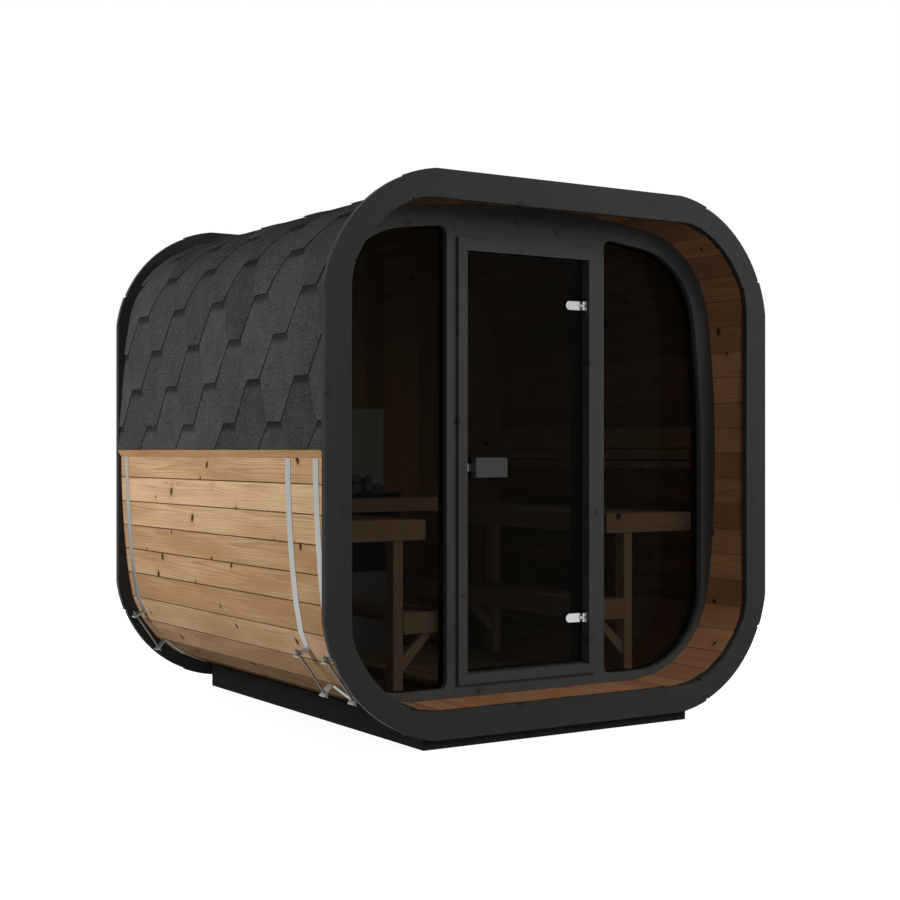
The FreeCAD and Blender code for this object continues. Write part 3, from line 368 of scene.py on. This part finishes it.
def stained(name, along, base, sheen=0.0, middle=0.0, corner=0.0):
    """Softwood under a satin black stain: faint grain, soft dark knots and fine pores."""
    graph = Surface(name)
    if along == "ring":
        u, v, w = ring_grain(graph, middle, corner)
    else:
        u, v, w, _ = grain_of(graph, along)
    inside, near = knots(graph, u, v, 0.55, 0.009, 0.009)
    slow = graph.streaks(u, v, w, 5, 1.2, 2)
    phase = graph.total(graph.times(u, 170), graph.times(slow, 9), near)
    wave = graph.between(graph.calc("FRACT", phase), 0.2, 0.9)
    fibre = graph.streaks(u, v, w, 380, 8, 2)
    cloud = graph.streaks(u, v, w, 14, 3, 3)
    light = graph.total(
        1.0, graph.times(wave, -0.07), graph.swing(fibre, 0.35), graph.swing(cloud, 0.3),
        graph.times(inside, -0.32), graph.times(near, -0.1))
    graph.put(Base_Color=graph.blend(1.0, base, graph.grey(light), "MULTIPLY"),
              Specular_IOR_Level=sheen, Roughness=graph.calc("ADD", graph.times(fibre, 0.2), 0.42))
    graph.bump(graph.total(graph.times(wave, 0.4), fibre), 0.3, 0.0006)
    return graph.material


def shingle_material():
    """Dark mineral granules, with a shaded band at the top of each tab."""
    graph = Surface("shingle_granules")
    _, down, _ = graph.parts(graph.attribute("tab").outputs["Vector"])
    tone = graph.attribute("tone").outputs["Fac"]
    place = graph.place()
    speck, _, _ = graph.parts(graph.cells(place, 520)["Color"])
    fine = graph.noise(place, 190, 3, 0.7)
    patch = graph.noise(place, 9, 3)
    top = 2 * TAB_EXPOSURE
    band = graph.between(down, top - 0.042, top - 0.012)
    light = graph.total(
        -1.6, graph.times(speck, 1.0), graph.times(fine, 3.2),
        graph.times(patch, 0.6), graph.times(tone, 0.4))
    shade = graph.calc("SUBTRACT", 1.0, graph.times(band, 0.55))
    light = graph.times(graph.calc("MAXIMUM", light, 0.15), shade)
    graph.put(Base_Color=graph.blend(1.0, colour(72, 72, 73), graph.grey(light), "MULTIPLY"),
              Roughness=0.95, Specular_IOR_Level=0.0)
    graph.bump(graph.calc("ADD", speck, fine), 0.5, 0.0012)
    return graph.material


def glass(name, tint, through):
    """Dark tinted glass that lets part of the light straight through."""
    graph = Surface(name)
    smear = graph.noise(graph.place(), 6, 2)
    graph.put(Base_Color=tint, Alpha=through, Specular_IOR_Level=0.02,
              Roughness=graph.calc("ADD", graph.times(smear, 0.03), 0.01))
    return graph.material


def metal(name, base, rough, streak, metallic=1.0):
    """Metal or enamel with a fine mottled surface."""
    graph = Surface(name)
    place = graph.place()
    fine = graph.noise(place, 240, 3)
    patch = graph.noise(place, 22, 3)
    light = graph.total(1.0, graph.swing(fine, streak), graph.swing(patch, streak))
    graph.put(Base_Color=graph.blend(1.0, base, graph.grey(light), "MULTIPLY"), Metallic=metallic,
              Roughness=graph.calc("ADD", graph.times(patch, 0.15), rough))
    graph.bump(fine, 0.1, 0.0003)
    return graph.material


def stone_material():
    """Rough grey stone with lighter flecks."""
    graph = Surface("sauna_stones")
    place = graph.place()
    tone = graph.attribute("tone").outputs["Fac"]
    rough = graph.noise(place, 35, 4, 0.7)
    fleck = graph.noise(place, 210, 2)
    light = graph.total(
        0.3, graph.times(tone, 0.5), graph.times(rough, 0.8), graph.times(fleck, 0.4))
    graph.put(Base_Color=graph.blend(1.0, colour(122, 120, 114), graph.grey(light), "MULTIPLY"),
              Roughness=0.85, Specular_IOR_Level=0.2)
    graph.bump(graph.calc("ADD", rough, fleck), 0.6, 0.003)
    return graph.material


ring_low, ring_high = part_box("front_ring_boards")
ring_middle = (ring_low.z + ring_high.z) / 2
ring_half = (ring_high.z - ring_low.z) / 2

outer_wood = wood("stave_wood_outside", "board", colour(228, 190, 150), colour(186, 144, 104),
                  colour(84, 54, 40), 0.75, contrast=1.2)
# Inside faces: a darker, redder copy of the stave wood, painted shade and bounce light for the porch
# and room.
inner_wood_painted_shade = wood("stave_wood_inside_painted_shade", "board", colour(176, 128, 92), colour(132, 94, 67),
                  colour(66, 40, 28), 0.5, contrast=1.0)
# Groove faces: darker wood, partly dirt and partly painted shade in the V grooves.
groove_wood_dirt_and_shade = wood("groove_wood_dirt_and_shade", "board", colour(136, 100, 72), colour(98, 70, 50),
                   colour(48, 32, 24), 0.3, contrast=0.5)
back_wood = wood("back_wall_wood", "board", colour(170, 128, 94), colour(130, 94, 66),
                 colour(58, 34, 24), 0.5, contrast=0.8)
batten_wood = wood("batten_wood", "Y", colour(220, 178, 134), colour(180, 134, 94),
                   colour(84, 54, 40), 0.8, contrast=1.0)
bench_woods = {
    axis: wood(f"bench_wood_{axis}", axis, colour(212, 174, 138), colour(178, 138, 104),
               colour(80, 48, 32), 0.35, contrast=0.5)
    for axis in "XYZ"
}
stains = {axis: stained(f"black_stain_{axis}", axis, colour(65, 65, 63)) for axis in "XZ"}
# Base beams: a darker copy of the black stain, painted shade under the overhanging staves.
base_stain_painted_shade = stained("black_stain_base_painted_shade", "X", colour(40, 40, 39))
# Stave ends: dark colour as painted shade, so the ends that show beside the ring read as its shaded
# inner edge.
stave_ends_painted_shade = stained("dark_stave_ends_painted_shade", "board", colour(40, 40, 39))
ring_stain = stained("black_stain_ring", "ring", colour(51, 51, 49), 0.05, ring_middle,
                     ring_half - RING_CORNER)
shingles = shingle_material()
window_tint = glass("window_tint", colour(7, 7, 5), 0.46)
door_tint = glass("door_tint", colour(9, 10, 7), 0.5)
rod_steel = metal("threaded_steel", colour(112, 110, 106), 0.42, 0.12)
band_steel = metal("galvanised_steel", colour(166, 166, 163), 0.38, 0.12)
chrome = metal("polished_chrome", colour(190, 190, 190), 0.1, 0.02)
handle_grey = metal("handle_grey", colour(40, 40, 39), 0.6, 0.2, metallic=0.0)
heater_black = metal("heater_black", colour(24, 24, 24), 0.4, 0.2, metallic=0.0)
stand_grey = metal("stand_grey", colour(134, 134, 130), 0.42, 0.15, metallic=0.0)
shield_grey = metal("shield_grey", colour(176, 177, 168), 0.5, 0.08, metallic=0.0)
stone = stone_material()


# Pieces.

def link(name, data):
    """Put a new object into the scene."""
    made = bpy.data.objects.new(name, data)
    bpy.context.scene.collection.objects.link(made)
    return made


def piece(mesh, name, materials, body="cabin", replaces=()):
    """Finish a bmesh as a named piece on its body."""
    data = bpy.data.meshes.new(name)
    bmesh.ops.recalc_face_normals(mesh, faces=mesh.faces)
    mesh.to_mesh(data)
    mesh.free()
    for material in materials:
        data.materials.append(material)
    made = link(name, data)
    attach(made, body)
    if replaces:
        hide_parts(*replaces)
    return made


def loft(mesh, rows):
    """Skin rows of four corners, each two pairs across from each other, and close both ends."""
    for a, b in zip(rows, rows[1:]):
        for i, j in ((0, 1), (1, 3), (3, 2), (2, 0)):
            mesh.faces.new((a[i], a[j], b[j], b[i]))
    for row in (rows[0], rows[-1]):
        mesh.faces.new((row[0], row[1], row[3], row[2]))


class Boards:
    """A mesh of separate boards, each with its own place in the grain and its own tone."""

    def __init__(self, seed):
        self.mesh = bmesh.new()
        self.grain = self.mesh.verts.layers.float_vector.new("grain")
        self.tone = self.mesh.verts.layers.float.new("tone")
        self.draw = random.Random(seed)

    def next_board(self):
        """The next board's place in the grain, and its tone."""
        draw = self.draw
        shift = Vector((draw.uniform(-0.07, 0.07), draw.uniform(0, 40), draw.uniform(0.035, 0.09)))
        return shift, draw.random()

    def add(self, section, across, depth, start, run, sides, end):
        """A board: its section's points, the grain's two cross directions, its run, and the
        numbers of its materials on each side and at the ends."""
        shift, tone = self.next_board()
        long = run.normalized()
        middle = sum(section, Vector()) / len(section)
        rings = []
        for base in (start, start + run):
            ring = []
            for point in section:
                vert = self.mesh.verts.new(point + base)
                local = point - middle
                vert[self.grain] = Vector((local.dot(across), (point + base).dot(long),
                                           local.dot(depth))) + shift
                vert[self.tone] = tone
                ring.append(vert)
            rings.append(ring)
        count = len(section)
        for i in range(count):
            j = (i + 1) % count
            face = self.mesh.faces.new((rings[0][i], rings[0][j], rings[1][j], rings[1][i]))
            face.material_index = sides[i]
        for ring in (rings[0], rings[1][::-1]):
            self.mesh.faces.new(ring).material_index = end


def tunnel_edges():
    """The stave joints, clockwise from the roof's middle: inner and outer point of each."""
    points = set()
    for name in ("roof_staves", "right_wall_staves", "floor_staves", "left_wall_staves"):
        places = [v.co for v in nodes[name].data.vertices]
        front = min(p.y for p in places)
        points |= {(round(p.x, 4), round(p.z, 4)) for p in places if p.y - front < 1e-4}
    middle = (0.0, ring_middle)
    found = []
    for point in points:
        partner = min((other for other in points if other != point),
                      key=lambda other: math.dist(point, other))
        if math.dist(point, middle) < math.dist(partner, middle):
            turn = math.atan2(point[0], point[1] - ring_middle) % (2 * math.pi)
            found.append((round(turn, 4) % round(2 * math.pi, 4), point, partner))
    return [(Vector((a[0], 0, a[1])), Vector((b[0], 0, b[1]))) for _, a, b in sorted(found)]


edges = tunnel_edges()
shell_low, shell_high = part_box("roof_staves")
shell_run = Vector((0, shell_high.y - shell_low.y, 0))
shell_start = Vector((0, shell_low.y, 0))


# Stave faces: outside wood, inside wood darkened as painted shade, groove wood darkened by dirt and
# painted shade, and ends darkened as painted shade.
OUTSIDE, INSIDE, GROOVE, END = range(4)
stave_materials = [outer_wood, inner_wood_painted_shade, groove_wood_dirt_and_shade, stave_ends_painted_shade]


def stave(boards, first, second):
    """One stave between two joints, with a V groove along its outer edges and a small one inside."""
    (a_in, a_out), (b_in, b_out) = first, second
    across = (b_out - a_out).normalized()
    depth = Vector((across.z, 0, -across.x))
    side_a, side_b = (a_in - a_out).normalized(), (b_in - b_out).normalized()
    outer, inner = STAVE_GROOVE, STAVE_GROOVE * 0.6
    section = [
        a_out + across * outer, b_out - across * outer,
        b_out + side_b * outer, b_in - side_b * inner,
        b_in - across * inner, a_in + across * inner,
        a_in - side_a * inner, a_out + side_a * outer,
    ]
    sides = (OUTSIDE, GROOVE, GROOVE, GROOVE, INSIDE, GROOVE, GROOVE, GROOVE)
    boards.add(section, across, depth, shell_start, shell_run, sides, END)


def staves():
    """The four sectors of the tunnel."""
    quarter = len(edges) // 4
    half = quarter // 2
    count = len(edges)
    for number, (name, start, size) in enumerate((
            ("roof", -half, 2 * half), ("right_wall", half, quarter),
            ("floor", half + quarter, quarter), ("left_wall", half + 2 * quarter, quarter))):
        boards = Boards(11 + number)
        for i in range(start, start + size):
            stave(boards, edges[i % count], edges[(i + 1) % count])
        piece(boards.mesh, f"{name}_stave_boards", stave_materials,
              replaces=[f"{name}_staves"])


staves()


# The shingles.

class Slope:
    """The smooth outside of the right half of the roof, by distance from its middle."""

    def __init__(self):
        points = [outer for _, outer in edges[:len(edges) // 2]]
        points = [Vector((-points[1].x, 0, points[1].z))] + points
        self.places, self.marks = [], [0.0]
        for p0, p1, p2, p3 in zip(points, points[1:], points[2:], points[3:]):
            for t in (j / 8 for j in range(8)):
                square = 2 * p0 - 5 * p1 + 4 * p2 - p3
                cube = 3 * p1 - p0 - 3 * p2 + p3
                self.places.append(0.5 * (2 * p1 + (p2 - p0) * t + square * t ** 2 + cube * t ** 3))
        for a, b in zip(self.places, self.places[1:]):
            self.marks.append(self.marks[-1] + (b - a).length)

    def at(self, distance):
        """Point and outward direction; short of the middle it goes on to the other side."""
        side = -1 if distance < 0 else 1
        distance = abs(distance)
        i = min(np.searchsorted(self.marks, distance, side="right"), len(self.marks) - 1) - 1
        a, b = self.places[i], self.places[i + 1]
        point = a + (b - a) * ((distance - self.marks[i]) / (self.marks[i + 1] - self.marks[i]))
        run = (b - a).normalized()
        return (Vector((side * point.x, 0, point.z)), Vector((-side * run.z, 0, run.x)))

    def distance_at(self, level):
        """Distance at which the slope has come down to this height."""
        for i, (a, b) in enumerate(zip(self.places, self.places[1:])):
            if b.z < level:
                share = (a.z - level) / (a.z - b.z)
                return self.marks[i] + share * (self.marks[i + 1] - self.marks[i])
        return self.marks[-1]


slope = Slope()
cover_low, cover_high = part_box("roof_shingles")
cover_end = slope.distance_at(cover_low.z)


def lift_at(down):
    """Height of a tab's outside above the staves, this far up from its flat end."""
    return np.interp(down / TAB_EXPOSURE, (0, 1, 2), TAB_LIFT)


def tab_width(down):
    """Width of a tab this far up from its flat end; its covered part soon meets the next tab's."""
    slant = TAB_PITCH - 2 * TAB_FLAT
    if down <= TAB_EXPOSURE:
        return TAB_FLAT + slant * down / TAB_EXPOSURE
    return min(TAB_PITCH - TAB_GAP, TAB_FLAT + slant + (down - TAB_EXPOSURE) * 4)


def shingle_tab(mesh, layers, side, foot, middle, draw):
    """One tab with its covered part: its flat end lies at distance foot from the roof's middle."""
    tab_layer, tone_layer = layers
    tone = draw.random()
    curl = draw.uniform(0, CURL)
    downs = {i * TAB_STEP for i in range(int(TAB_LONG / TAB_STEP) + 1)} | {TAB_EXPOSURE, TAB_LONG}
    if foot > cover_end:
        downs.add(foot - cover_end)
    rows = []
    for down in sorted(downs):
        distance = foot - down
        if distance > cover_end + 1e-6 or distance < -RIDGE_LAP:
            continue
        half = tab_width(down) / 2
        low, high = max(middle - half, cover_low.y), min(middle + half, cover_high.y)
        if high - low < 0.001:
            continue
        point, out = slope.at(distance)
        kick = EAVE_KICK * max(0.0, 1 - (cover_end - distance) / EAVE_REACH) ** 2
        lift = lift_at(down) + kick + curl * max(0.0, 1 - down / CURL_REACH)
        row = []
        for level in (lift, max(lift - TAB_THICK, BOARD_SEAT + kick * 0.5)):
            for y in (low, high):
                place = point + out * level
                vert = mesh.verts.new((side * place.x, y, place.z))
                vert[tab_layer] = Vector((y - middle, down, 0))
                vert[tone_layer] = tone
                row.append(vert)
        rows.append(row)
    if len(rows) > 1:
        loft(mesh, rows)


def shingle_cover():
    """Courses of tabs on both sides, from the lower edge up to the caps."""
    least, spare = 0.05, 0.2
    for name, side in (("left", -1), ("right", 1)):
        draw = random.Random(5 + side)
        mesh = bmesh.new()
        layers = (mesh.verts.layers.float_vector.new("tab"), mesh.verts.layers.float.new("tone"))
        foot = cover_end - FLATS_ABOVE_EDGE + 2 * TAB_EXPOSURE
        course = -2
        while foot > least:
            start = TAB_MIDDLE + TAB_PITCH / 2 * (course % 2)
            first = math.ceil((cover_low.y - spare - start) / TAB_PITCH)
            last = math.floor((cover_high.y + spare - start) / TAB_PITCH)
            for i in range(first, last + 1):
                shingle_tab(mesh, layers, side, foot, start + i * TAB_PITCH, draw)
            foot -= TAB_EXPOSURE
            course += 1
        piece(mesh, f"{name}_shingle_courses", [shingles], replaces=["roof_shingles"])


def caps():
    """Overlapping caps along the ridge."""
    draw = random.Random(9)
    mesh = bmesh.new()
    tab_layer = mesh.verts.layers.float_vector.new("tab")
    tone_layer = mesh.verts.layers.float.new("tone")
    pace = (cover_high.y - cover_low.y - CAP_LONG) / (CAP_COUNT - 1)
    for i in range(CAP_COUNT):
        low = cover_low.y + i * pace
        tone = draw.random()
        columns = []
        for j in range(9):
            distance = CAP_HALF * (j / 4 - 1)
            point, out = slope.at(distance)
            column = []
            for y, top in ((low, CAP_LIFT[0]), (low + CAP_LONG, CAP_LIFT[1])):
                for level in (top, top - TAB_THICK):
                    place = point + out * level
                    vert = mesh.verts.new((place.x, y, place.z))
                    vert[tab_layer] = Vector((distance, 0.1, 0))
                    vert[tone_layer] = tone
                    column.append(vert)
            columns.append(column)
        loft(mesh, columns)
    piece(mesh, "ridge_caps", [shingles])


shingle_cover()
caps()


# The back wall's upright boards.

def outline_levels(x):
    """Lowest and highest point of the room's outline at this place across it."""
    levels = []
    points = [inner for inner, _ in edges]
    for a, b in zip(points, points[1:] + points[:1]):
        if min(a.x, b.x) - 1e-9 <= x <= max(a.x, b.x) + 1e-9 and abs(a.x - b.x) > 1e-9:
            levels.append(a.z + (b.z - a.z) * (x - a.x) / (b.x - a.x))
    return min(levels), max(levels)


def back_boards():
    """Upright tongued boards across the back, cut to the tunnel's outline."""
    low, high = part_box("back_wall")
    boards = Boards(31)
    count = round((high.x - low.x) / BACK_BOARD)
    wide = (high.x - low.x) / count
    margin = 0.002
    mesh = boards.mesh
    for i in range(count):
        left, right = low.x + i * wide, low.x + (i + 1) * wide
        inside = {p.x for p, _ in edges if left + margin < p.x < right - margin}
        stops = sorted({left, left + BOARD_GROOVE, right - BOARD_GROOVE, right} | inside)
        stops = [min(max(x, low.x + margin), high.x - margin) for x in stops]
        shift, tone = boards.next_board()
        columns = []
        for number, x in enumerate(stops):
            bottom, top = outline_levels(x)
            sunk = BOARD_GROOVE * 0.8 if number in (0, len(stops) - 1) else 0.0
            column = []
            for y in (low.y + sunk, high.y - sunk):
                for z in (bottom + BOARD_SEAT, top - BOARD_SEAT):
                    vert = mesh.verts.new((x, y, z))
                    vert[boards.grain] = Vector((x - (left + right) / 2, z, y - low.y)) + shift
                    vert[boards.tone] = tone
                    column.append(vert)
            columns.append(column)
        loft(mesh, columns)
    piece(mesh, "back_wall_boards", [back_wood], replaces=["back_wall"])


back_boards()


# The stones in the heater.

def stone_at(mesh, tone_layer, centre, radius, draw):
    """One rough stone: a squashed, turned and dented ball."""
    made = bmesh.ops.create_icosphere(mesh, subdivisions=3, radius=1.0)["verts"]
    seed = Vector((draw.uniform(0, 90), draw.uniform(0, 90), draw.uniform(0, 90)))
    squash = Vector((draw.uniform(0.85, 1.0), draw.uniform(0.8, 1.0), draw.uniform(0.65, 0.85)))
    axis = Vector((draw.uniform(-1, 1), draw.uniform(-1, 1), draw.uniform(-1, 1))).normalized()
    turn = Matrix.Rotation(draw.uniform(0, 6.28), 3, axis)
    tone = draw.random()
    for vert in made:
        way = vert.co.copy()
        bulge = 0.92 + 0.16 * noise.noise(way * 1.6 + seed) + 0.05 * noise.noise(way * 5 + seed)
        flat = min(1.0, 0.8 + abs(noise.noise(way * 0.9 - seed)) * 0.6)
        shape = turn @ Vector((way.x * squash.x, way.y * squash.y, way.z * squash.z))
        vert.co = centre + shape * radius * bulge * flat
        vert[tone_layer] = tone


def stones():
    """A heap of rough stones, each layer smaller than the one under it."""
    low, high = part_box("heater_stones")
    middle = (low + high) / 2
    draw = random.Random(17)
    mesh = bmesh.new()
    tone_layer = mesh.verts.layers.float.new("tone")
    rim = STONE_SIZE * 1.2
    reach_x = (high.x - low.x) / 2 - rim
    reach_y = (high.y - low.y) / 2 - rim
    most_across, most_deep = STONE_LAYERS[0]
    for layer, (across, deep) in enumerate(STONE_LAYERS):
        share_x, share_y = (across - 1) / (most_across - 1), (deep - 1) / (most_deep - 1)
        level = high.z - 2 * STONE_SIZE + layer * STONE_RISE
        for i in range(across):
            for j in range(deep):
                x = middle.x + reach_x * (share_x * (2 * i / (across - 1) - 1) + STONE_LEAN * layer)
                y = middle.y + reach_y * share_y * (2 * j / (deep - 1) - 1)
                centre = Vector((x, y, level + draw.uniform(-0.008, 0.003)))
                stone_at(mesh, tone_layer, centre, STONE_SIZE * draw.uniform(0.82, 1.08), draw)
    for face in mesh.faces:
        face.smooth = True
    piece(mesh, "sauna_stone_heap", [stone], replaces=["heater_stones"])


stones()


# The benches' front end boards, which close the gaps between their boards.

def bench_ends():
    """A thin board across the front end of each bench, within the window's inner surround."""
    mesh = bmesh.new()
    for side in ("left", "right"):
        glass_low, glass_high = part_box(f"{side}_window_glass")
        for level in ("upper", "lower"):
            low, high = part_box(f"{side}_{level}_bench")
            near = max(low.x, glass_low.x + END_MARGIN)
            far = min(high.x, glass_high.x - END_MARGIN)
            corners = bmesh.ops.create_cube(mesh, size=1.0)["verts"]
            bmesh.ops.scale(mesh, vec=(far - near, END_BOARD, high.z - low.z), verts=corners)
            bmesh.ops.translate(mesh, verts=corners, vec=(
                (near + far) / 2, low.y - END_BOARD / 2, (low.z + high.z) / 2))
    made = piece(mesh, "bench_end_boards", [bench_woods["X"]])
    edge = made.modifiers.new("soft_edges", "BEVEL")
    edge.width = 0.002
    edge.segments = 2


bench_ends()


# The threaded rods with their nuts.

def turned(mesh, start, axis, stations, sides):
    """A closed solid of revolution: (distance along the axis, radius) stations."""
    axis = axis.normalized()
    u = Vector((0, 1, 0))
    w = axis.cross(u).normalized()
    rings = []
    for along, radius in stations:
        ring = []
        for i in range(sides):
            turn = 2 * math.pi * i / sides
            ring.append(mesh.verts.new(
                start + axis * along + (u * math.cos(turn) + w * math.sin(turn)) * radius))
        rings.append(ring)
    for a, b in zip(rings, rings[1:]):
        for i in range(sides):
            j = (i + 1) % sides
            mesh.faces.new((a[i], a[j], b[j], b[i]))
    mesh.faces.new(rings[0])
    mesh.faces.new(rings[-1][::-1])


def rod(mesh, places, middle):
    """One rod with its two nuts, along the axis of the points that its solid has."""
    flat = places[:, [0, 2]]
    centre = flat.mean(0)
    _, _, ways = np.linalg.svd(flat - centre)
    axis = ways[0]
    across = np.array([-axis[1], axis[0]])
    along = (flat - centre) @ axis
    off = (flat - centre) @ across
    centre = centre + across * (off.min() + off.max()) / 2
    radius = np.hypot((flat - centre) @ across, places[:, 1] - middle)
    start, end = along.min(), along.max()
    thin, reach = radius[abs(along - end) < 1e-4].max(), radius.max()
    way = Vector((axis[0], 0, axis[1]))
    origin = Vector((centre[0], middle, centre[1]))

    plain = 0.001
    stations = [(start, thin * ROD_END)]
    for i in range(int((end - start - 2 * plain) / THREAD_PITCH)):
        crest = start + plain + i * THREAD_PITCH
        stations.append((crest, thin * THREAD_CREST))
        stations.append((crest + THREAD_PITCH / 2, thin * THREAD_ROOT))
    stations.append((end, thin * ROD_END))
    turned(mesh, origin, way, stations, 12)

    in_nuts = along[radius > thin * 1.4]
    for nut in (in_nuts[in_nuts < 0], in_nuts[in_nuts > 0]):
        low, high = nut.min(), nut.max()
        edge = (high - low) * (1 - NUT_EDGE)
        turned(mesh, origin, way, [
            (low, reach * NUT_EDGE), (low + edge, reach),
            (high - edge, reach), (high, reach * NUT_EDGE)], 6)


def tensioners():
    """Two rods for each band, read from their solid in the frame."""
    places = np.array([v.co for v in nodes["band_tensioners"].data.vertices], float)
    mesh = bmesh.new()
    for name in ("front_band", "middle_band", "rear_band"):
        low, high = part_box(name)
        middle = (low.y + high.y) / 2
        near = abs(places[:, 1] - middle) < 0.05
        for side in (-1, 1):
            rod(mesh, places[(places[:, 0] * side > 0) & near], middle)
    piece(mesh, "tension_rods", [rod_steel], replaces=["band_tensioners"])


tensioners()


# Finishes and softened edges of the CAD nodes that stay.

def soften(name, width):
    """Take the sharpness off a node's edges."""
    shown = nodes[name]
    weld = shown.modifiers.new("weld", "WELD")
    weld.merge_threshold = 0.00002
    bevel = shown.modifiers.new("soft_edges", "BEVEL")
    bevel.limit_method = "ANGLE"
    bevel.angle_limit = math.radians(25)
    bevel.width = width
    bevel.segments = 2
    bevel.harden_normals = True
    bevel.use_clamp_overlap = True


def finish(material, width, *names):
    """Give nodes one material and soften their edges."""
    for name in names:
        shown = nodes[name]
        for slot in shown.material_slots:
            slot.material = material
        if not shown.material_slots:
            shown.data.materials.append(material)
        if width:
            soften(name, width)


finish(ring_stain, 0.0008, "front_ring_boards", "front_ring_corners", "rear_ring_boards",
       "rear_ring_corners")
finish(base_stain_painted_shade, 0.003, "base_beam_front", "base_beam_rear", "base_beam_left", "base_beam_right")
finish(stains["Z"], 0.0006, "front_wall_left", "front_wall_right")
finish(stains["X"], 0.0006, "front_wall_head", "front_wall_sill")
finish(stains["X"], 0.0015, "door_frame_head", "door_frame_sill")
finish(stains["Z"], 0.002, "door_jambs", "door_stop")
finish(stains["Z"], 0.0015, "left_window_lining", "right_window_lining")
finish(batten_wood, 0.001, "roof_edge_battens")
finish(window_tint, 0.0, "left_window_glass", "right_window_glass")
finish(door_tint, 0.0, "door_glass")
finish(band_steel, 0.0004, "front_band", "middle_band", "rear_band")
finish(chrome, 0.0008, "door_hinge_plates", "door_hinge_clamps", "door_catch")
finish(handle_grey, 0.0025, "door_handle_outside", "door_handle_inside")
finish(heater_black, 0.0008, "heater_casing")
finish(stand_grey, 0.0008, "heater_stand")
finish(shield_grey, 0.0008, "heat_shield", "heater_floor_plate")
finish(bench_woods["X"], 0.003, "heater_guard_rail")
finish(bench_woods["Z"], 0.003, "left_bench_legs", "right_bench_legs")
finish(bench_woods["Y"], 0.003, "left_upper_bench", "right_upper_bench", "left_lower_bench",
       "right_lower_bench", "slatted_floor", "left_backrest", "right_backrest")


# Floor, light and camera.

def floor():
    """A wide pale floor, white to the eye from 7 m on and a little below it near the cabin."""
    mesh = bmesh.new()
    bmesh.ops.create_circle(mesh, cap_ends=True, segments=64, radius=FLOOR_RADIUS)
    data = bpy.data.meshes.new("studio_floor")
    mesh.to_mesh(data)
    mesh.free()
    made = link("studio_floor", data)
    made.location.z = -0.0005
    graph = Surface("studio_floor")
    seen = graph.seen()
    away = graph.add("ShaderNodeVectorMath", operation="LENGTH")
    graph.join(graph.place(), away.inputs[0])
    shine = graph.between(away.outputs["Value"], 2.0, 7.0, 0.86, 1.0)
    graph.put(Base_Color=graph.blend(seen, (0.05, 0.05, 0.05, 1), (0.4, 0.4, 0.4, 1)),
              Roughness=0.9, Specular_IOR_Level=0.0, Emission_Color=(1, 1, 1, 1),
              Emission_Strength=graph.times(seen, shine))
    data.materials.append(graph.material)


def world():
    """A soft studio dome, brightest round the horizon, which looks white itself."""
    made = bpy.data.worlds.new("studio")
    bpy.context.scene.world = made
    graph = Graph(made)
    _, _, height = graph.parts(graph.add("ShaderNodeTexCoord").outputs["Generated"])
    squared = graph.calc("POWER", graph.calc("DIVIDE", height, BELT_HEIGHT), 2)
    belt = graph.calc("POWER", math.e, graph.times(squared, -1))
    strength = graph.calc("ADD", graph.times(belt, BELT_LIGHT), DOME_LIGHT)
    seen = graph.seen()
    lit = graph.times(strength, graph.calc("SUBTRACT", 1, seen))
    shine = graph.add("ShaderNodeBackground")
    shine.inputs["Color"].default_value = (1, 1, 1, 1)
    graph.join(graph.calc("ADD", lit, seen), shine.inputs["Strength"])
    graph.join(shine.outputs[0], graph.add("ShaderNodeOutputWorld").inputs[0])


def panel(name, place, target, size, watts):
    """A soft square lamp that faces a point, and is itself unseen."""
    data = bpy.data.lights.new(name, "AREA")
    data.energy = watts
    data.size = size
    made = link(name, data)
    made.location = place
    made.rotation_mode = "QUATERNION"
    made.rotation_quaternion = (Vector(target) - Vector(place)).to_track_quat("-Z", "Y")
    made.visible_camera = False
    made.visible_glossy = False
    made.visible_transmission = False


def camera():
    """The photograph's viewpoint."""
    data = bpy.data.cameras.new("camera")
    data.sensor_width = 36
    data.lens = CAMERA_LENS
    made = link("camera", data)
    made.location = CAMERA_PLACE
    made.rotation_euler = (math.radians(90), 0, math.radians(CAMERA_TURN))
    bpy.context.scene.camera = made


floor()
world()
panel("front_panel", (1.6, -4.2, 3.0), (0.1, -1.0, 1.15), 2.2, 122)
panel("low_panel", (-2.6, -5.6, 0.8), (0.4, -0.9, 1.2), 1.4, 48)
panel("left_panel", (-4.6, 0.9, 2.2), (-1.0, 0.1, 1.1), 2.2, 112)
panel("right_panel", (4.6, 1.2, 1.9), (1.0, 0.0, 1.1), 2.2, 130)
panel("rear_panel", (-0.8, 5.0, 1.9), (0.0, 1.0, 1.1), 2.2, 160)
camera()
bpy.context.scene.view_settings.view_transform = "Standard"
